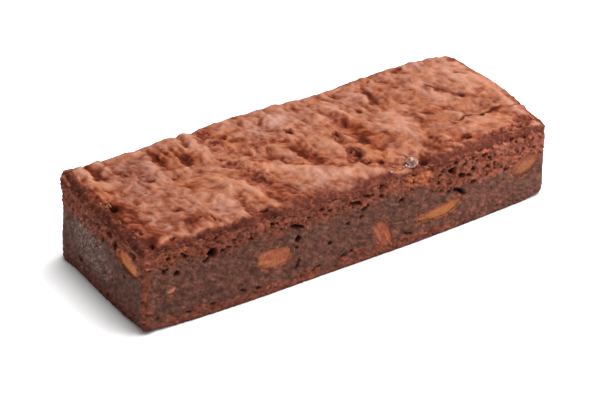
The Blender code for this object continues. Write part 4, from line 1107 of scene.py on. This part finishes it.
def buildPecan(nut, material):
    # rings from the middle of the cut out to its edge, then back in to the end inside the crumb
    shape = pecanShape
    middle, long, short, outward = faceFrame(nut)
    angle = np.linspace(0, 2 * math.pi, shape["sides"], endpoint=False)
    face = np.linspace(0, 1, shape["faceRings"] + 1)[1:]
    back = np.linspace(0, 1, shape["backRings"] + 1)[1:] * 0.93
    size = np.concatenate([face, np.sqrt(1 - back ** 2.4)])[:, None]
    a, b = pecanOutline(nut, angle, size)
    inward = np.concatenate([shape["roundOff"] * (face ** 8 - 1), back * (nut["depth"] - 0.5)])
    out = -shape["roundOff"] - inward
    points = middle + a[..., None] * long + b[..., None] * short + out[:, None, None] * outward
    onFace = (np.arange(len(size)) < len(face) - 2)[:, None]
    points += (layered(points, (1.6, 101, 0.12), (0.7, 102, 0.08)) * onFace)[..., None] * outward
    # streaks run along the piece; its low side fades under smeared crumb
    streak = softNoise(stacked(a / 3.6, b / 0.9, nut["level"]), 1.0, 103) * 0.9 + 0.35
    share = size + nut["smear"] * eased(0.15 - b / nut["thick"])
    rimShare = np.where(np.arange(len(size))[:, None] < len(face), share, 1.0)
    yellow = 0.8 * ((a / nut["long"] - 0.05) / 0.4) ** 2 + (b / (0.45 * nut["thick"]) + 0.6) ** 2
    core = nut["yellow"] * (0.45 + 0.9 * eased(1.3 - yellow))
    ends = [middle, points[-1].mean(0) - 0.05 * outward]
    masks = {"core": np.append(core, [0.8, 0.0]), "rimShare": np.append(rimShare, [0.0, 1.0]),
             "streak": np.append(streak, [0.3, 0.0]), "light": np.full(a.size + 2, nut["light"]),
             "blanched": np.full(a.size + 2, nut["blanched"])}
    name = "cut" + nut["node"].title().replace("_", "")
    piece = makePiece(name, np.concatenate([points.reshape(-1, 3), ends]), closedRings(*a.shape, -1), masks,
                      material)
    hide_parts(nut["node"])


nutMaterial = pecanMaterial()
for nut in pecans:
    buildPecan(nut, nutMaterial)


# loose crumbs that cling to the cut and to the broken crust

bits = {
    "onWall": 2200, "onCrust": 70, "smallest": 0.12, "largest": 0.42, "mostlySmall": 2.6, "sunk": 0.35,
    "stretch": (0.65, 1.25), "corners": (0.78, 1.15),
    "dark": (0.095, 0.025, 0.013), "light": (0.21, 0.068, 0.038), "roughness": 0.8, "specular": 0.2,
    "grain": (0.4, 2.0, 0.5),  # size, detail, how much it changes the tone
}


def buildBits():
    # twenty-sided crumbs, each stretched, turned and pushed out of round by its own random numbers
    draw = np.random.default_rng(23)
    golden = (1 + 5 ** 0.5) / 2
    corners = [np.roll((x, y * golden, 0), turn) for turn in range(3) for x in (-1, 1) for y in (-1, 1)]
    corners = np.array(corners) / math.hypot(1, golden)
    hull = []
    for three in itertools.combinations(range(12), 3):
        a, b, c = corners[list(three)]
        if max(np.linalg.norm(a - b), np.linalg.norm(b - c), np.linalg.norm(a - c)) < 1.1:
            hull.append(three if np.cross(b - a, c - a) @ a > 0 else (three[0], three[2], three[1]))

    crustHold = 0 * crustBroken
    crustHold[3:-3, 3:-3] = 0.0008 + crustBroken[3:-3, 3:-3] ** 2
    middle, outward = [], []
    for points, normals, hold, count in ((wallPoints, wallNormals, wallHold.ravel(), bits["onWall"]),
                                         (crustPoints, crustNormals, crustHold.ravel(), bits["onCrust"])):
        spots = draw.choice(hold.size, count, p=hold / hold.sum())
        middle.append(points.reshape(-1, 3)[spots])
        outward.append(normals.reshape(-1, 3)[spots])
    middle, outward = np.concatenate(middle), np.concatenate(outward)
    count = len(middle)
    larger = (bits["largest"] - bits["smallest"]) * draw.random(count) ** bits["mostlySmall"]
    radius = bits["smallest"] + larger
    middle = middle - outward * (radius * bits["sunk"])[:, None]
    turn, _ = np.linalg.qr(draw.normal(size=(count, 3, 3)))
    turn *= np.sign(np.linalg.det(turn))[:, None, None]
    stretch = draw.uniform(*bits["stretch"], (count, 1, 3))
    jag = draw.uniform(*bits["corners"], (count, 12, 1))
    points = np.einsum("nij,nkj->nki", turn, corners * stretch * jag) * radius[:, None, None]
    points = (points + middle[:, None]).reshape(-1, 3)
    faces = (np.array(hull) + 12 * np.arange(count)[:, None, None]).reshape(-1, 3)
    tone = np.maximum(draw.random(count) ** 1.3, 0.6 * (np.arange(count) >= bits["onWall"]))
    makePiece("looseCrumbs", points, [faces], {"tone": np.repeat(tone, 12)},
              crumblyMaterial("loose_crumb", bits), smooth=False)


# thin flakes of crust that have lifted

flakes = {
    "long": (1.0, 2.6), "wide": (0.35, 0.8), "thick": 0.1, "curl": 0.3, "turnSpread": 16,
    "cellsAlong": 6, "cellsAcross": 3,
    "dark": (0.15, 0.04, 0.018), "light": (0.29, 0.11, 0.058), "roughness": 0.5, "specular": 0.2,
    "grain": (0.5, 3.0, 1.0),  # size, detail, how much it changes the tone
}

# where they lie: x, y, reach x, reach y, how many, heading from the y axis in degrees
flakePlaces = (
    (-59, 6, 1.2, 4.5, 12, 4), (-59.6, -8, 1, 7, 6, 0), (-20.5, 13.5, 1.5, 6, 4, -6),
    (-15.5, 6.5, 3.6, 2.6, 6, -20), (-20, -2.5, 2.4, 4.6, 3, 30), (-27.9, -15, 1, 4.5, 5, 0),
    (9.4, -9, 1.4, 4, 6, 20), (14, -18.8, 3.2, 1.8, 10, 60), (52, -18.9, 8.5, 0.9, 12, 84),
    (61.2, 2, 0.7, 11, 10, 0), (34.4, -17.6, 2.2, 1.4, 4, 70), (-4.5, 6.8, 2.2, 1.4, 4, 10),
    (24, -20, 2.2, 1.8, 5, 50),
)


def buildFlakes():
    # a drawn-out leaf: half width = wide * (1 - u^2)^0.7, its sides and one end curled upwards
    draw = np.random.default_rng(31)
    centre, heading = [], []
    for x, y, reachX, reachY, count, lies in flakePlaces:
        centre.append(np.array([x, y]) + draw.uniform(-1, 1, (count, 2)) * (reachX, reachY))
        heading.append(lies + draw.normal(0, flakes["turnSpread"], count))
    centre, heading = np.concatenate(centre), np.radians(np.concatenate(heading))
    count = len(centre)
    nx, ny = crust["cellsAlong"], crust["cellsAcross"]
    columns = np.clip(((centre[:, 0] / bar["length"] + 0.5) * nx).astype(int), 2, nx - 2)
    rows = np.clip(((centre[:, 1] / (bar["width"] + 2.0) + 0.5) * ny).astype(int), 2, ny - 2)
    spot, normal = crustPoints[columns, rows], crustNormals[columns, rows]
    limits = (flakes["long"], flakes["wide"], (0.3, 1.0), (-0.5, 0.5))
    long, wide, curl, lean = (draw.uniform(*pair, count)[:, None, None] for pair in limits)
    curl = curl * flakes["curl"]
    a, b = flakes["cellsAlong"] + 1, flakes["cellsAcross"] + 1
    u, v = np.meshgrid(np.linspace(-1, 1, a), np.linspace(-1, 1, b), indexing="ij")
    half = (1.02 - u * u) ** 0.7 * (1 + 0.25 * np.sin(4 * u + 6 * lean))
    side = wide / 2 * v * half + 0.25 * wide * np.sin(3 * u + 5 * lean)
    lift = curl * (v * half) ** 2 + 0.5 * curl * np.clip(u + lean, 0, None) ** 2
    lift = lift + 0.02 + lean * wide * 0.5 * v * half
    forward = stacked(-np.sin(heading), np.cos(heading), 0)
    forward -= normal * (forward * normal).sum(-1, keepdims=True)
    ways = (spot, forward, np.cross(forward, normal), normal)
    spot, forward, sideways, normal = (way[:, None, None] for way in ways)
    sheet = spot + (long / 2 * u)[..., None] * forward + side[..., None] * sideways
    points = np.stack([sheet + (lift - drop)[..., None] * normal for drop in (0.0, flakes["thick"])], 1)
    top = gridQuads(a, b)[:, ::-1]
    edge = gridRim(a - 1, b - 1) @ (b, 1)
    after = np.roll(edge, -1)
    wall = np.stack([edge, after, after + a * b, edge + a * b], -1)
    shape = np.concatenate([top, top[:, ::-1] + a * b, wall[:, ::-1]])
    faces = (shape + 2 * a * b * np.arange(count)[:, None, None]).reshape(-1, 4)
    tone = np.repeat(draw.random(count), 2 * a * b)
    makePiece("crustFlakes", points.reshape(-1, 3), [faces], {"tone": tone},
              crumblyMaterial("lifted_flake", flakes))


# the blister of sugar at the front edge, with bumps (way out from its middle, rise as a share of its
# radius, width) and grains of sugar on and beside it (x, y, z, radius, how thick); the palest grains on it
# are painted highlights

blister = {
    "middle": (18.9, -20.3, 23.4), "radii": (1.7, 1.55, 1.65), "rings": 36, "sides": 64,
    "bumps": ((-0.4, -0.8, 0.1, -0.38, 0.42), (-0.25, -0.45, 0.95, 0.2, 0.26), (-1, 0, 0.35, 0.22, 0.3),
              (0.9, -0.6, 0.1, 0.2, 0.34), (-0.9, -0.3, -0.4, 0.3, 0.26), (-0.1, -0.9, 0.55, -0.22, 0.2),
              (-0.55, -0.9, -0.5, 0.28, 0.22), (0.35, -0.9, -0.1, 0.16, 0.22),
              (-0.8, -0.7, 0.35, -0.24, 0.18)),
    "beads": ((11.6, -21.7, 23.4, 0.4, 0.3), (18.4, -21.2, 24.7, 0.4, 1.4), (16.9, -20.9, 23.2, 0.3, 0.9),
              (17.4, -21.6, 23.1, 0.26, 1.0), (19.6, -21.9, 23.6, 0.24, 0.7), (16.0, -20.9, 23.0, 0.34, 0.3)),
    "thin": (0.15, 0.046, 0.026), "thick": (0.47, 0.275, 0.225),
    "roughness": 0.16, "specular": 0.6, "coat": 0.12, "coatRoughness": 0.1,
}


def blisterMaterial():
    # brown where the sugar is thin and pale where it is thick, with a cloudy grain; the pale ring of bumps
    # round the dent on its front is partly a painted highlight
    material, shader, place = newMaterial("glazed_sugar")
    cloud = place.grain(0.9, 3.0)
    thick = (place.masks("thick")[0] + (cloud - 0.5)).held()
    feed(shader, {"Base Color": thick.mix(blister["thin"], blister["thick"]),
                  "Roughness": cloud * 0.2 + blister["roughness"], "Specular IOR Level": blister["specular"],
                  "Coat Weight": blister["coat"], "Coat Roughness": blister["coatRoughness"]})
    return material


def buildBlister():
    # round blobs: radius = 1 + the sum of bumps, each rise * exp(-(angle to its way out / width)^2)
    rings, sides = blister["rings"] - 1, blister["sides"]
    polar = np.linspace(0, math.pi, rings + 2)[1:-1, None]
    around = np.linspace(0, 2 * math.pi, sides, endpoint=False)[None, :]
    ways = stacked(np.sin(polar) * np.cos(around), np.sin(polar) * np.sin(around), np.cos(polar))
    ways = np.concatenate([ways.reshape(-1, 3), [[0, 0, 1], [0, 0, -1]]])
    size = 1 + 0.14 * softNoise(ways * 1.7, 1.0, 109)
    for *way, rise, width in blister["bumps"]:
        angle = np.arccos(np.clip(ways @ (np.array(way) / math.hypot(*way)), -1, 1))
        size = size + rise * bell(angle, 0, width)
    blob = closedRings(rings, sides, -1)
    points = [ways * size[:, None] * blister["radii"] + blister["middle"]]
    # pale on the bumps round the dent on its front: thicker sugar and a painted highlight
    thick = [0.1 + 0.75 * eased((size - 0.92) / 0.35)]
    faces = list(blob)
    for number, (x, y, z, radius, clear) in enumerate(blister["beads"]):
        uneven = 1 + 0.16 * softNoise(ways * 1.3 + 5.0 * number, 1.0, 110)
        points.append(ways * uneven[:, None] * radius * (1.1, 1.0, 0.85) + (x, y, z))
        faces += [part + len(ways) * (number + 1) for part in blob]
        thick.append(np.full(len(ways), clear))
    masks = {"thick": np.concatenate(thick)}
    makePiece("sugarBlister", np.concatenate(points), faces, masks, blisterMaterial())


buildBits()
buildFlakes()
buildBlister()


# floor, light and camera

stage = {
    "floorSize": 3.0, "floorColour": 0.93, "floorRoughness": 0.9, "skyLight": 0.365,
    "keyPower": 14.8, "keySize": 0.72, "keyFrom": (0.262, -0.05, 0.815),
    "fillPower": 0.62, "fillSize": 0.3, "fillFrom": (0.22, -0.3, 0.2), "lampAim": (0, 0, 0.012),
    "azimuth": -33.082, "elevation": 31.201, "distance": 0.64052,
    "sideways": -0.003449, "upwards": -0.002845, "aimHeight": 0.011,
    "focalPixels": 2400.0, "imageWidth": 590.0, "sensor": 36.0,
}


def buildStage():
    # a pale floor, an even sky, and two square lamps turned to the bar
    half = stage["floorSize"] / 2
    mesh = bpy.data.meshes.new("floor")
    corners = [(x * half, y * half, 0) for x, y in ((-1, -1), (1, -1), (1, 1), (-1, 1))]
    mesh.from_pydata(corners, [], [(0, 1, 2, 3)])
    material, shader, _ = newMaterial("pale_floor")
    feed(shader, {"Base Color": (*[stage["floorColour"]] * 3, 1.0),
                  "Roughness": stage["floorRoughness"], "Specular IOR Level": 0.0})
    mesh.materials.append(material)
    floor = bpy.data.objects.new("floor", mesh)
    bpy.context.scene.collection.objects.link(floor)

    world = bpy.data.worlds.new("studio")
    world.use_nodes = True
    feed(world.node_tree.nodes["Background"], {"Color": (1.0, 1.0, 1.0, 1.0), "Strength": stage["skyLight"]})
    bpy.context.scene.world = world

    for name in ("key", "fill"):
        light = bpy.data.lights.new(name + "Light", "AREA")
        light.energy = stage[name + "Power"]
        light.size = stage[name + "Size"]
        lamp = bpy.data.objects.new(name + "Light", light)
        lamp.location = stage[name + "From"]
        aim = Vector(stage["lampAim"]) - Vector(stage[name + "From"])
        lamp.rotation_euler = aim.to_track_quat("-Z", "Y").to_euler()
        bpy.context.scene.collection.objects.link(lamp)


def buildCamera():
    # the lens is worked out from the photograph's width; the aim is a little off the bar's middle
    azimuth, elevation = math.radians(stage["azimuth"]), math.radians(stage["elevation"])
    right = Vector((math.cos(azimuth), math.sin(azimuth), 0))
    level = Vector((math.sin(azimuth), -math.cos(azimuth), 0))
    back = level * math.cos(elevation) + Vector((0, 0, math.sin(elevation)))
    aim = Vector((0, 0, stage["aimHeight"])) + Vector(barShift * mm)
    data = bpy.data.cameras.new("camera")
    data.sensor_width = stage["sensor"]
    data.lens = stage["sensor"] * stage["focalPixels"] / stage["imageWidth"]
    data.clip_start, data.clip_end = 0.01, 20.0
    camera = bpy.data.objects.new("camera", data)
    camera.location = (aim + right * stage["sideways"] + back.cross(right) * stage["upwards"]
                       + back * stage["distance"])
    camera.rotation_euler = (-back).to_track_quat("-Z", "Y").to_euler()
    bpy.context.scene.collection.objects.link(camera)
    bpy.context.scene.camera = camera


buildStage()
buildCamera()
bpy.context.scene.view_settings.view_transform = "Standard"
print("stage and camera set")
